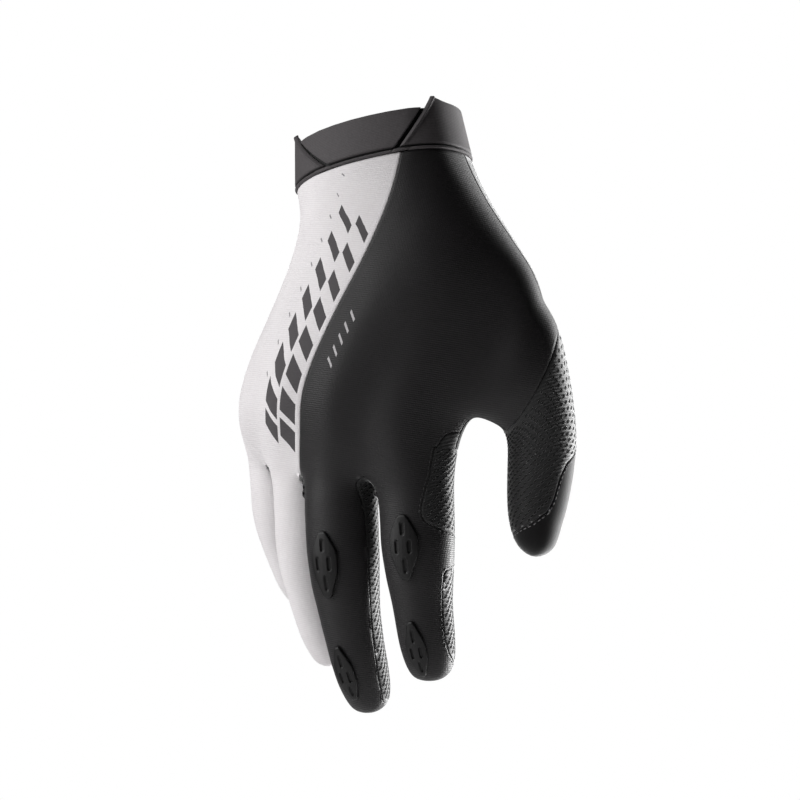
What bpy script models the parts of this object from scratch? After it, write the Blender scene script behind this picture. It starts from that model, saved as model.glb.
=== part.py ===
"""Right-hand motocross glove, in the form it keeps on a hand: a hollow shell of sewn panels, a two-piece cuff
and moulded pads on the backs of two fingers. Metres, +Z up the forearm.

The origin is the centre of the cuff's opening. The back of the hand faces -Y and the thumb is at +X.
The skin of the hand is one control cage, smoothed by subdivision and then cut into panels along its own lines,
so every panel follows the sizes below."""

import math
from collections import namedtuple

import bmesh
import bpy
import numpy as np
from mathutils import Matrix, Vector
from mathutils.bvhtree import BVHTree

# Hand
HAND_LEAN = math.radians(18.0)
PALM_LENGTH = 0.107
KNUCKLE_WIDTH = 0.088
KNUCKLE_DEPTH = 0.031
KNUCKLE_RISE = 0.0016

# Fingers, from the webs to the tips
INDEX_LENGTH = 0.073
MIDDLE_LENGTH = 0.088
RING_LENGTH = 0.076
LITTLE_LENGTH = 0.060
FINGER_WIDTH = 0.0262
FINGER_DEPTH = 0.0240
THUMB_LENGTH = 0.070
THUMB_WIDTH = 0.0240

# Cuff
CUFF_HEIGHT = 0.0180
CUFF_BACK_HEIGHT = 0.0152
CUFF_TIP_RISE = 0.0018
CUFF_TIP_SPAN = math.radians(24)
CUFF_WALL = 0.0026
CUFF_BACK_WALL = 0.0020
CUFF_PROUD = 0.0008
CUFF_TAPER_SHARE = 0.94
CUFF_ROUNDING = 0.0005
CUFF_LEVELS = 4
WRAP_COLUMNS = 30
CUFF_BACK_COLUMNS = 10

# Cloth
BACK_WALL = 0.0010
MESH_WALL = 0.0010
PALM_WALL = 0.0012
SEAM_GAP = 0.00035

# The two slanting joins of the cuff, as degrees round the wrist at the seam and at the rim: 0 is the thumb edge
# and -90 the middle of the back. A channel is left open along each.
Slant = namedtuple("Slant", "seam rim")
THUMB_SLANT = Slant(-61.0, -32.0)
LITTLE_SLANT = Slant(-105.8, -147.0)
CHANNEL_DEGREES = 2.4

# Moulded finger pads
PAD_THICKNESS = 0.0012
PAD_WIDTH = 0.0112
PAD_LENGTH = 0.0210
TIP_PAD_WIDTH = 0.0100
TIP_PAD_LENGTH = 0.0195
SLOT_DEPTH = 0.0006
SLOT_WIDTH = 0.0013
SLOT_SHARE = 0.22
PAD_GAP = 0.0003
PAD_CELL = 0.0027
PAD_CORNER_CUT = 0.22

# The pad's outline down its right half, and the middles of its slots: shares of its width and length
PAD_OUTLINE = ((0.14, 0.5), (0.5, 0.17), (0.5, -0.15), (0.16, -0.5))
PAD_SLOTS = ((0.02, 0.27), (-0.20, -0.02), (0.23, -0.02), (0.05, -0.29))

# Where each pad's middle lies, as a share of its finger's length, and how far the fingertip pads turn, in degrees
INDEX_PAD_SHARE = 0.318
MIDDLE_PAD_SHARE = 0.342
INDEX_TIP_PAD_SHARE = 0.790
MIDDLE_TIP_PAD_SHARE = 0.768
TIP_PAD_TURN = -5

SMOOTHING_LEVEL = 1
LONGEST_MITRE = 3
SHARP_ANGLE = math.radians(40)
CUFF_EDGE_ANGLE = math.radians(45)
EVEN_CORNER = 0.1

# Sections of the palm from the cuff seam to the knuckles.
# down: share of PALM_LENGTH. side, width: shares of KNUCKLE_WIDTH. back, depth, arch_little, arch_thumb: shares of
# KNUCKLE_DEPTH, where back moves the section towards the back of the hand and the arches let its two edges fall
# towards the palm. tilt: share of HAND_LEAN. split: where white meets black across the back, -1 little finger
# edge to +1 thumb edge. bump: share of KNUCKLE_RISE.
PalmSection = namedtuple(
    "PalmSection", "down side back width depth arch_little arch_thumb tilt split bump"
)
PALM_SECTIONS = (
    PalmSection(0.00, -0.012, 0.00, 0.745, 1.52, 0.00, 0.00, 0.0, 0.62, 0.0),
    PalmSection(0.13, 0.072, 0.02, 0.80, 1.46, 0.02, 0.05, 0.4, 0.34, 0.0),
    PalmSection(0.30, 0.172, 0.05, 1.05, 1.40, 0.10, 0.35, 0.8, -0.10, 0.0),
    PalmSection(0.51, 0.085, 0.10, 1.11, 1.30, 0.35, 0.40, 1.0, -0.15, 0.2),
    PalmSection(0.74, -0.052, 0.12, 1.12, 1.12, 0.62, 0.25, 1.0, -0.10, 0.8),
    PalmSection(0.87, -0.086, 0.06, 1.14, 1.00, 0.80, 0.18, 1.0, -0.02, 1.0),
)
THUMB_HOLE_TOP, THUMB_HOLE_WEB = 2, 4
EDGE_SHARE = 0.93
SECTION_POWER = 2.3

# Fingers from the little finger to the index. side: share of KNUCKLE_WIDTH from the middle of the hand.
# down: share of PALM_LENGTH. palm: share of KNUCKLE_DEPTH towards the palm. splay, roll and the three curls
# are degrees; width and depth are shares of FINGER_WIDTH and FINGER_DEPTH.
Finger = namedtuple(
    "Finger", "name length side down palm splay roll curl mid_curl tip_curl width depth"
)
FINGERS = (
    Finger("little", LITTLE_LENGTH, -0.487, 0.97, 0.82, -5, -38, 16, 14, 8, 0.82, 0.84),
    Finger("ring", RING_LENGTH, -0.257, 1.00, 0.42, 2.5, -22, 10, 12, 8, 0.90, 0.92),
    Finger("middle", MIDDLE_LENGTH, 0.007, 1.00, 0.00, 10.4, -4, 4, 12, 10, 1.00, 1.00),
    Finger("index", INDEX_LENGTH, 0.328, 0.97, 0.12, 10.4, 4, 4, 8, 8, 1.00, 1.00),
)
LITTLE, RING, MIDDLE, INDEX = range(len(FINGERS))

# Sections of every finger. along: share of its length. width, depth: shares of its own.
FingerSection = namedtuple("FingerSection", "along width depth")
FINGER_SECTIONS = (
    FingerSection(0.00, 1.00, 1.06),
    FingerSection(0.08, 1.00, 1.03),
    FingerSection(0.22, 1.00, 0.99),
    FingerSection(0.35, 0.99, 0.99),
    FingerSection(0.47, 0.91, 0.92),
    FingerSection(0.60, 0.79, 0.83),
    FingerSection(0.74, 0.77, 0.79),
    FingerSection(0.87, 0.70, 0.70),
    FingerSection(0.96, 0.52, 0.49),
)
MIDDLE_JOINT, TIP_JOINT = 0.41, 0.70
JOINT_SPREAD = 0.09
FINGERTIP = 0.99

# Sections of the thumb from its seam on the hand to near its tip, in the frame of the hand.
# down: share of THUMB_LENGTH below THUMB_ROOT_DOWN. side: share of KNUCKLE_WIDTH. palm: share of KNUCKLE_DEPTH.
# tilt: degrees that the section's outer edge is raised. lead: degrees that its back is ahead of its palm side.
# width, depth: shares of THUMB_WIDTH.
ThumbSection = namedtuple("ThumbSection", "down side palm tilt lead width depth")
THUMB_ROOT_DOWN = 0.50
THUMB_SECTIONS = (
    ThumbSection(0.08, 0.640, 0.40, 74, 26, 1.84, 1.25),
    ThumbSection(0.12, 0.682, 0.54, 71, 48, 1.78, 1.25),
    ThumbSection(0.32, 0.722, 0.72, 44, 34, 1.26, 1.08),
    ThumbSection(0.47, 0.735, 0.82, 24, 16, 1.08, 1.00),
    ThumbSection(0.62, 0.738, 0.87, 16, 5, 0.98, 0.96),
    ThumbSection(0.77, 0.743, 0.87, 9, 0, 0.88, 0.90),
    ThumbSection(0.89, 0.755, 0.87, 22, 0, 0.71, 0.78),
    ThumbSection(0.98, 0.775, 0.87, 12, 0, 0.50, 0.56),
)
THUMB_TIP_DOWN = 1.055
THUMB_SEAM_BAND, THUMB_SIDE_BAND, THUMB_TIP_BAND = 2, 5, 7

# A closed ring of eight control points settles at this share of its own size once it is smoothed.
RING_SHARE = 2 / 3 + math.cos(math.tau / 8) / 3
PALM_SHARE = 2 / 3 + math.cos(math.tau / 20) / 3
RING_ANGLES = tuple(math.radians(a) for a in (135, 90, 45, 0, -45, -90, -135, 180))
BACK_LEFT, BACK_MID, BACK_RIGHT, RIGHT, PALM_RIGHT, PALM_MID, PALM_LEFT, LEFT = range(8)

# Panels, their wall and the look of their cloth: colour, roughness
Panel = namedtuple("Panel", "wall colour roughness")
WHITE = (0.80, 0.79, 0.80)
BLACK = (0.016, 0.015, 0.016)
MESH_BLACK = (0.022, 0.022, 0.023)
CUFF_GREY = (0.065, 0.060, 0.061)
RUBBER = (0.009, 0.008, 0.009)
PANELS = {
    "back_white": Panel(BACK_WALL, WHITE, 0.75),
    "back_black": Panel(BACK_WALL, BLACK, 0.70),
    "palm": Panel(PALM_WALL, MESH_BLACK, 0.80),
    "fourchette_little_ring": Panel(MESH_WALL, MESH_BLACK, 0.85),
    "fourchette_ring_middle": Panel(MESH_WALL, MESH_BLACK, 0.85),
    "fourchette_middle_index": Panel(MESH_WALL, MESH_BLACK, 0.85),
    "index_side": Panel(MESH_WALL, MESH_BLACK, 0.85),
    "thumb_shell": Panel(MESH_WALL, MESH_BLACK, 0.85),
    "thumb_palm": Panel(PALM_WALL, BLACK, 0.60),
}
PANEL_NAMES = list(PANELS)
FOURCHETTES = PANEL_NAMES[3:6]

HAND = Matrix.Translation((0, 0, -CUFF_HEIGHT)) @ Matrix.Rotation(HAND_LEAN, 4, "Y")


def material(name, colour, roughness):
    made = bpy.data.materials.new(name)
    made.use_nodes = True
    shader = made.node_tree.nodes["Principled BSDF"]
    shader.inputs["Base Color"].default_value = (*colour, 1)
    shader.inputs["Roughness"].default_value = roughness
    shader.inputs["Metallic"].default_value = 0
    made.diffuse_color = (*colour, 1)
    return made


def add_object(name, mesh, look):
    mesh.materials.clear()
    mesh.materials.append(look)
    made = bpy.data.objects.new(name, mesh)
    bpy.context.scene.collection.objects.link(made)
    mesh.shade_smooth()
    mesh.set_sharp_from_angle(angle=SHARP_ANGLE)
    return made


def smoothstep(x):
    x = min(1.0, max(0.0, x))
    return x * x * (3 - 2 * x)


def mix(a, b, share):
    return a + (b - a) * share


class FingerLine:
    """The centre line of a finger, with its own sideways, backwards and forwards directions at each place."""

    def __init__(self, finger):
        self.finger = finger
        turn = Matrix.Rotation(math.radians(finger.splay), 3, "Y")
        turn = turn.inverted() @ Matrix.Rotation(math.radians(finger.roll), 3, "Z")
        self.side = turn @ Vector((1, 0, 0))
        self.back = turn @ Vector((0, -1, 0))
        self.ahead = turn @ Vector((0, 0, -1))
        self.root = Vector(
            (
                finger.side * KNUCKLE_WIDTH,
                finger.palm * KNUCKLE_DEPTH,
                -finger.down * PALM_LENGTH,
            )
        )

    def curl(self, along):
        finger = self.finger
        middle = smoothstep((along - MIDDLE_JOINT) / (2 * JOINT_SPREAD) + 0.5)
        tip = smoothstep((along - TIP_JOINT) / (2 * JOINT_SPREAD) + 0.5)
        return math.radians(finger.curl + middle * finger.mid_curl + tip * finger.tip_curl)

    def ahead_at(self, along):
        curl = self.curl(along)
        return self.ahead * math.cos(curl) - self.back * math.sin(curl)

    def back_at(self, along):
        curl = self.curl(along)
        return self.back * math.cos(curl) + self.ahead * math.sin(curl)

    def point(self, along, steps=24):
        step = along / steps
        place = self.root.copy()
        for i in range(steps):
            place += self.ahead_at((i + 0.5) * step) * step * self.finger.length
        return place

    def ring(self, section):
        """Eight control points round the finger."""
        centre = self.point(section.along)
        back = self.back_at(section.along)
        half_width = section.width * self.finger.width * FINGER_WIDTH / 2 / RING_SHARE
        half_depth = section.depth * self.finger.depth * FINGER_DEPTH / 2 / RING_SHARE
        return [
            centre + self.side * math.cos(a) * half_width + back * math.sin(a) * half_depth
            for a in RING_ANGLES
        ]


def palm_point(section, across, on_back, bump=0.0):
    """A control point of a palm section, across from -1 at the little finger to +1 at the thumb."""
    fullness = (1 - abs(across) ** SECTION_POWER) ** (1 / SECTION_POWER)
    arch = (section.arch_little if across < 0 else section.arch_thumb) * across * across
    depth = section.depth / 2 * fullness / PALM_SHARE * (-1 if on_back else 1)
    local = Vector(
        (
            (section.side + across * section.width / 2 / PALM_SHARE) * KNUCKLE_WIDTH,
            (arch - section.back + depth) * KNUCKLE_DEPTH - bump * section.bump * KNUCKLE_RISE,
            0,
        )
    )
    untilt = Matrix.Rotation(HAND_LEAN * (section.tilt - 1), 3, "Y")
    return Vector((0, 0, -section.down * PALM_LENGTH)) + untilt @ local


def palm_columns(section):
    """Where the nine lines of the back and of the palm cross a section. Line 4 is the colour split."""
    back = [mix(-EDGE_SHARE, section.split, i / 4) for i in range(4)]
    back += [mix(section.split, EDGE_SHARE, i / 4) for i in range(5)]
    palm = [mix(-EDGE_SHARE, EDGE_SHARE, i / 8) for i in range(9)]
    return back, palm


class Cage:
    """The control cage of the whole hand, as faces that know their panel."""

    def __init__(self):
        self.mesh = bmesh.new()
        self.build_palm()
        self.build_fingers()
        self.build_thumb()

    def vert(self, place):
        return self.mesh.verts.new(HAND @ place)

    def face(self, corners, panel):
        made = self.mesh.faces.new(corners)
        made.material_index = PANEL_NAMES.index(panel)

    def build_palm(self):
        """Each row is 20 points: 9 over the back, the thumb edge, 9 over the palm, the little finger edge."""
        self.rows = []
        for section in PALM_SECTIONS:
            back, palm = palm_columns(section)
            row = [
                self.vert(palm_point(section, t, True, 1.0 if i % 2 else -1.0 if 0 < i < 8 else 0.0))
                for i, t in enumerate(back)
            ]
            row.append(self.vert(palm_point(section, 1, True)))
            row += [self.vert(palm_point(section, t, False)) for t in reversed(palm)]
            row.append(self.vert(palm_point(section, -1, True)))
            self.rows.append(row)
        self.build_web_row()
        for r in range(len(self.rows) - 1):
            for c in range(20):
                if THUMB_HOLE_TOP <= r < THUMB_HOLE_WEB and c in (8, 9):
                    continue
                self.add_band_face(self.rows[r], self.rows[r + 1], c, self.palm_panel(r, c))
        for r in range(THUMB_HOLE_TOP + 1, THUMB_HOLE_WEB):
            self.mesh.verts.remove(self.rows[r][9])

    def palm_panel(self, row, column):
        if row == len(self.rows) - 2 and column in (8, 9):
            return "index_side"
        if column < 4 or column == 19:
            return "back_white"
        return "back_black" if column < 9 else "palm"

    def add_band_face(self, above, below, column, panel):
        after = (column + 1) % len(above)
        self.face((above[column], below[column], below[after], above[after]), panel)

    def build_web_row(self):
        """The last row of the palm is shared by the roots of the fingers."""
        self.lines = [FingerLine(f) for f in FINGERS]
        roots = [line.ring(FINGER_SECTIONS[0]) for line in self.lines]
        back, palm, self.webs = [], [], []
        for i, root in enumerate(roots):
            before = roots[i - 1] if i else None
            back += [self.shared(root[BACK_LEFT], before, BACK_RIGHT), self.vert(root[BACK_MID])]
            palm += [self.shared(root[PALM_LEFT], before, PALM_RIGHT), self.vert(root[PALM_MID])]
            if before:
                self.webs.append(self.shared(root[LEFT], before, RIGHT))
        back.append(self.vert(roots[-1][BACK_RIGHT]))
        palm.append(self.vert(roots[-1][PALM_RIGHT]))
        thumb_edge = self.vert(roots[-1][RIGHT])
        little_edge = self.vert(roots[0][LEFT])
        self.rows.append([*back, thumb_edge, *reversed(palm), little_edge])

    def shared(self, place, neighbour, corner):
        return self.vert((place + neighbour[corner]) / 2 if neighbour else place)

    def build_fingers(self):
        row = self.rows[-1]
        for i, line in enumerate(self.lines):
            left = self.webs[i - 1] if i else row[19]
            right = self.webs[i] if i < len(self.webs) else row[9]
            ring = [row[2 * i], row[2 * i + 1], row[2 * i + 2], right]
            ring += [row[18 - 2 * i - 2], row[18 - 2 * i - 1], row[18 - 2 * i], left]
            for section in FINGER_SECTIONS[1:]:
                below = [self.vert(place) for place in line.ring(section)]
                for c in range(8):
                    self.add_band_face(ring, below, c, self.finger_panel(i, c))
                ring = below
            cloth = "back_white" if i < MIDDLE else "back_black"
            tip = line.point(FINGERTIP)
            self.cap(ring, tip, cloth, "palm")

    def finger_panel(self, finger, column):
        cloth = "back_white" if finger < MIDDLE else "back_black"
        if column < 2:
            return cloth
        if column < 4:
            return FOURCHETTES[finger] if finger < INDEX else "index_side"
        if column < 6:
            return "palm"
        if finger == LITTLE:
            return "palm" if column == 6 else cloth
        return FOURCHETTES[finger - 1]

    def cap(self, ring, tip, back_panel, palm_panel):
        """Closes a ring of eight with four faces round a point."""
        middle = self.vert(tip)
        for start, panel in ((7, back_panel), (1, back_panel), (3, palm_panel), (5, palm_panel)):
            corners = [ring[start], middle, ring[(start + 2) % 8], ring[(start + 1) % 8]]
            self.face(corners, panel)

    def build_thumb(self):
        """The thumb grows from the hole in the thumb edge of the palm. Its ring starts at the webbing's back."""
        top, mid, web = (self.rows[r] for r in (THUMB_HOLE_TOP, THUMB_HOLE_TOP + 1, THUMB_HOLE_WEB))
        ring = [web[8], mid[8], top[8], top[9], top[10], mid[10], web[10], web[9]]
        for n, section in enumerate(THUMB_SECTIONS):
            below = [self.vert(place) for place in thumb_ring(section)]
            for c in range(8):
                self.add_band_face(ring, below, c, self.thumb_panel(n, c))
            ring = below
        end = THUMB_SECTIONS[-1]
        tip = thumb_centre(end._replace(down=THUMB_TIP_DOWN))
        self.cap(ring, tip, "thumb_palm", "thumb_palm")

    def thumb_panel(self, band, column):
        on_palm = column in (4, 5)
        if band < THUMB_SEAM_BAND:
            return "palm" if on_palm or column in (3, 6) else "back_black"
        outer_side = column in (2, 3)
        if on_palm or band >= THUMB_TIP_BAND or (outer_side and band >= THUMB_SIDE_BAND):
            return "thumb_palm"
        return "thumb_shell"


def thumb_centre(section):
    return Vector(
        (
            section.side * KNUCKLE_WIDTH,
            section.palm * KNUCKLE_DEPTH,
            -THUMB_ROOT_DOWN * PALM_LENGTH - section.down * THUMB_LENGTH,
        )
    )


def thumb_ring(section):
    """Eight control points round the thumb: its left faces the index finger, its back faces -Y."""
    turn = Matrix.Rotation(-math.radians(section.tilt), 3, "Y")
    turn = turn @ Matrix.Rotation(math.radians(section.lead), 3, "X")
    side, back = turn @ Vector((1, 0, 0)), turn @ Vector((0, -1, 0))
    half_width = section.width * THUMB_WIDTH / 2 / RING_SHARE
    half_depth = section.depth * THUMB_WIDTH / 2 / RING_SHARE
    return [
        thumb_centre(section) + side * math.cos(a) * half_width + back * math.sin(a) * half_depth
        for a in RING_ANGLES
    ]


def smooth_skin(cage):
    """The cage after subdivision: the outer surface of every panel, in one mesh."""
    mesh = bpy.data.meshes.new("skin")
    for name in PANEL_NAMES:
        mesh.materials.append(None)
    cage.mesh.normal_update()
    cage.mesh.to_mesh(mesh)
    holder = bpy.data.objects.new("skin", mesh)
    bpy.context.scene.collection.objects.link(holder)
    smoother = holder.modifiers.new("smooth", "SUBSURF")
    smoother.levels = smoother.render_levels = SMOOTHING_LEVEL
    bpy.context.view_layer.update()
    graph = bpy.context.evaluated_depsgraph_get()
    skin = bpy.data.meshes.new_from_object(holder.evaluated_get(graph))
    bpy.data.objects.remove(holder)
    return skin


def corner_shift(inward):
    """How far a sewn edge draws back at a corner, so that both edges that meet there keep the gap."""
    total = sum(inward, Vector())
    if total.length < EVEN_CORNER:
        return Vector()
    reach = min(len(inward) / total.length, LONGEST_MITRE)
    return total.normalized() * reach * SEAM_GAP / 2


def cut_panel(skin, index, wall):
    """One panel of the skin as a closed wall. Its sewn edges draw back by half the seam gap."""
    whole = bmesh.new()
    whole.from_mesh(skin)
    whole.normal_update()
    faces = [f for f in whole.faces if f.material_index == index]
    verts = {v for f in faces for v in f.verts}
    inward = {v: [] for v in verts}
    rim = []
    for face in faces:
        for loop in face.loops:
            edge = loop.edge
            inside = [f for f in edge.link_faces if f.material_index == index]
            if len(inside) == 2:
                continue
            rim.append((loop.vert, loop.link_loop_next.vert))
            if edge.is_boundary:
                continue
            middle = (edge.verts[0].co + edge.verts[1].co) / 2
            along = (edge.verts[1].co - edge.verts[0].co).normalized()
            inwards = face.calc_center_median() - middle
            inwards = (inwards - inwards.dot(along) * along).normalized()
            for v in edge.verts:
                inward[v].append(inwards)
    panel = bmesh.new()
    outer, inner = {}, {}
    for v in verts:
        shift = corner_shift(inward[v])
        outer[v] = panel.verts.new(v.co + shift)
        inner[v] = panel.verts.new(v.co + shift - v.normal * wall)
    for face in faces:
        panel.faces.new([outer[v] for v in face.verts])
        panel.faces.new([inner[v] for v in reversed(face.verts)])
    for a, b in rim:
        low, high = sorted((a, b), key=lambda v: v.index)
        panel.faces.new((outer[b], outer[a], inner[high]))
        panel.faces.new((inner[a], inner[b], outer[low]))
    mesh = bpy.data.meshes.new(PANEL_NAMES[index])
    panel.to_mesh(mesh)
    panel.free()
    whole.free()
    return mesh


def wrist_curve(skin):
    """The outer edge of the skin at the cuff seam: a function from degrees round the wrist to a point."""
    whole = bmesh.new()
    whole.from_mesh(skin)
    edge = [v.co.xy for v in whole.verts if v.is_boundary]
    whole.free()
    half = Vector((max(p.x for p in edge), max(p.y for p in edge)))
    turns = sorted((math.degrees(math.atan2(p.y / half.y, p.x / half.x)), p.x, p.y) for p in edge)
    turns = [(t - 360, x, y) for t, x, y in turns] + turns + [(t + 360, x, y) for t, x, y in turns]
    angles, xs, ys = zip(*turns)
    return lambda degrees: Vector((np.interp(degrees, angles, xs), np.interp(degrees, angles, ys)))


def cuff_piece(name, curve, start, end, height_at, wall, columns, look):
    """A wall round part of the wrist, between two slants given as (degrees at the seam, degrees at the rim)."""
    piece = bmesh.new()
    walls = []
    for c in range(columns + 1):
        seam, rim = (mix(start[i], end[i], c / columns) for i in range(2))
        height = height_at(rim)
        outer, inner = [], []
        for level in range(CUFF_LEVELS + 1):
            up = mix(SEAM_GAP, height, level / CUFF_LEVELS)
            base = curve(mix(seam, rim, level / CUFF_LEVELS))
            for out, column in ((CUFF_PROUD, outer), (CUFF_PROUD - wall, inner)):
                place = (base + base.normalized() * out) * mix(1.0, CUFF_TAPER_SHARE, up / CUFF_HEIGHT)
                column.append(piece.verts.new((*place, up - CUFF_HEIGHT)))
        walls.append(outer + inner[::-1])
    around = len(walls[0])
    for a, b in zip(walls, walls[1:]):
        for i in range(around):
            piece.faces.new((a[i], b[i], b[(i + 1) % around], a[(i + 1) % around]))
    for wall_end in (walls[0], walls[-1]):
        for i in range(CUFF_LEVELS):
            piece.faces.new((wall_end[i], wall_end[i + 1], wall_end[-i - 2], wall_end[-i - 1]))
    bmesh.ops.recalc_face_normals(piece, faces=piece.faces)
    sharp = [e for e in piece.edges if e.calc_face_angle(0) > CUFF_EDGE_ANGLE]
    bmesh.ops.bevel(
        piece, geom=sharp, offset=CUFF_ROUNDING, segments=1, profile=0.5, affect="EDGES"
    )
    mesh = bpy.data.meshes.new(name)
    piece.to_mesh(mesh)
    piece.free()
    return add_object(name, mesh, look)


def slant_end(slant, side, height):
    """A piece's end along a slant, as degrees at the seam and at its own rim. side: +1 or -1 from the channel."""
    shift = side * CHANNEL_DEGREES / 2
    return slant.seam + shift, mix(slant.seam, slant.rim, height / CUFF_HEIGHT) + shift


def wrap_height(degrees):
    """The wrap's rim is level and rises to a point at each slant."""
    from_end = min(abs(degrees - THUMB_SLANT.rim), abs(degrees - LITTLE_SLANT.rim - 360))
    rise = max(0.0, 1 - math.radians(from_end) / CUFF_TIP_SPAN)
    return CUFF_HEIGHT + CUFF_TIP_RISE * rise * rise


def add_cuff(skin):
    curve = wrist_curve(skin)
    cloth = material("cuff_knit", CUFF_GREY, 0.7)
    tip = CUFF_HEIGHT + CUFF_TIP_RISE
    start = slant_end(THUMB_SLANT, 1, tip)
    end = slant_end(Slant(*(degrees + 360 for degrees in LITTLE_SLANT)), -1, tip)
    cuff_piece("cuff_wrap", curve, start, end, wrap_height, CUFF_WALL, WRAP_COLUMNS, cloth)
    start = slant_end(LITTLE_SLANT, 1, CUFF_BACK_HEIGHT)
    end = slant_end(THUMB_SLANT, -1, CUFF_BACK_HEIGHT)
    back = lambda _: CUFF_BACK_HEIGHT
    cuff_piece("cuff_back", curve, start, end, back, CUFF_BACK_WALL, CUFF_BACK_COLUMNS, cloth)


class PadShape:
    """A pad laid on the back of a finger, drawn as shares of its width and length."""

    def __init__(self, name, finger, along, width, length, turn):
        self.name = name
        self.line = FingerLine(FINGERS[finger])
        self.along = along
        self.width = width
        self.length = length
        self.turn = math.radians(turn)
        self.radius = FINGERS[finger].width * FINGER_WIDTH / 2

    def place(self, across, down, lift, tree):
        """A point of the pad: metres across and down from its middle, and above the skin."""
        across, down = (
            across * math.cos(self.turn) - down * math.sin(self.turn),
            across * math.sin(self.turn) + down * math.cos(self.turn),
        )
        along = self.along + down / self.line.finger.length
        angle = across / self.radius
        out = self.line.back_at(along) * math.cos(angle) + self.line.side * math.sin(angle)
        centre = HAND @ self.line.point(along)
        out = (HAND.to_3x3() @ out).normalized()
        hit = tree.ray_cast(centre + out * FINGER_WIDTH, -out)[0]
        return hit + out * lift


def flat_solid(outline, low, high):
    """A closed prism over an outline given in order round it."""
    solid = bmesh.new()
    face = solid.faces.new([solid.verts.new((x, y, low)) for x, y in outline])
    moved = bmesh.ops.extrude_face_region(solid, geom=[face])["geom"]
    for v in moved:
        if isinstance(v, bmesh.types.BMVert):
            v.co.z = high
    bmesh.ops.recalc_face_normals(solid, faces=solid.faces)
    return solid


def rounded_outline(shares, width, length):
    """Both halves of the pad's outline, with each corner cut by a short chord."""
    half = [(x * width, y * length) for x, y in shares]
    corners = half + [(-x, y) for x, y in reversed(half)]
    outline = []
    for i, (x, y) in enumerate(corners):
        for other in (corners[i - 1], corners[(i + 1) % len(corners)]):
            outline.append((mix(x, other[0], PAD_CORNER_CUT), mix(y, other[1], PAD_CORNER_CUT)))
    return outline


def slot_outline(x, y, length):
    w = SLOT_WIDTH / 2
    h = length / 2
    straight = h - w
    return (
        (x - w, y - straight), (x, y - h), (x + w, y - straight),
        (x + w, y + straight), (x, y + h), (x - w, y + straight),
    )


def add_pad(shape, tree, look):
    """The pad is drawn flat, its slots are sunk into it, and then it is laid on the skin."""
    solid = flat_solid(rounded_outline(PAD_OUTLINE, shape.width, shape.length), 0, PAD_THICKNESS)
    mesh = bpy.data.meshes.new(shape.name)
    solid.to_mesh(mesh)
    solid.free()
    pad = add_object(shape.name, mesh, look)
    for n, (x, y) in enumerate(PAD_SLOTS):
        outline = slot_outline(x * shape.width, y * shape.length, SLOT_SHARE * shape.length)
        cutter_mesh = bpy.data.meshes.new("slot")
        flat_solid(outline, PAD_THICKNESS - SLOT_DEPTH, PAD_THICKNESS * 2).to_mesh(cutter_mesh)
        cutter = bpy.data.objects.new(f"{shape.name}_slot_{n}", cutter_mesh)
        bpy.context.scene.collection.objects.link(cutter)
        cut = pad.modifiers.new(cutter.name, "BOOLEAN")
        cut.operation, cut.solver, cut.object = "DIFFERENCE", "EXACT", cutter
    bpy.context.view_layer.update()
    graph = bpy.context.evaluated_depsgraph_get()
    cut_mesh = bpy.data.meshes.new_from_object(pad.evaluated_get(graph))
    for modifier in list(pad.modifiers):
        bpy.data.objects.remove(modifier.object)
        pad.modifiers.remove(modifier)
    flat = bmesh.new()
    flat.from_mesh(cut_mesh)
    for axis, reach in ((Vector((1, 0, 0)), shape.width), (Vector((0, 1, 0)), shape.length)):
        cells = math.ceil(reach / PAD_CELL)
        for i in range(1, cells):
            bmesh.ops.bisect_plane(
                flat,
                geom=flat.verts[:] + flat.edges[:] + flat.faces[:],
                plane_co=axis * (i / cells - 0.5) * reach,
                plane_no=axis,
            )
    bmesh.ops.triangulate(flat, faces=flat.faces)
    for v in flat.verts:
        v.co = shape.place(v.co.x, -v.co.y, PAD_GAP + v.co.z, tree)
    flat.to_mesh(pad.data)
    flat.free()
    pad.data.shade_smooth()
    pad.data.set_sharp_from_angle(angle=SHARP_ANGLE)


def clear_scene():
    for old in list(bpy.data.objects):
        bpy.data.objects.remove(old, do_unlink=True)


def main():
    clear_scene()
    skin = smooth_skin(Cage())
    add_cuff(skin)
    for index, (name, panel) in enumerate(PANELS.items()):
        mesh = cut_panel(skin, index, panel.wall)
        add_object(name, mesh, material(name, panel.colour, panel.roughness))
    tree = BVHTree.FromPolygons([v.co for v in skin.vertices], [p.vertices for p in skin.polygons])
    rubber = material("pad_rubber", RUBBER, 0.45)
    knuckle = PAD_WIDTH, PAD_LENGTH, 0
    fingertip = TIP_PAD_WIDTH, TIP_PAD_LENGTH, TIP_PAD_TURN
    for pad in (
        PadShape("knuckle_pad_index", INDEX, INDEX_PAD_SHARE, *knuckle),
        PadShape("knuckle_pad_middle", MIDDLE, MIDDLE_PAD_SHARE, *knuckle),
        PadShape("fingertip_pad_index", INDEX, INDEX_TIP_PAD_SHARE, *fingertip),
        PadShape("fingertip_pad_middle", MIDDLE, MIDDLE_TIP_PAD_SHARE, *fingertip),
    ):
        add_pad(pad, tree, rubber)


main()
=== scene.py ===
import math
from collections import namedtuple

import bmesh
import bpy
import numpy as np
from mathutils import Matrix, Vector, noise
from mathutils.bvhtree import BVHTree
from mathutils.kdtree import KDTree


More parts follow.
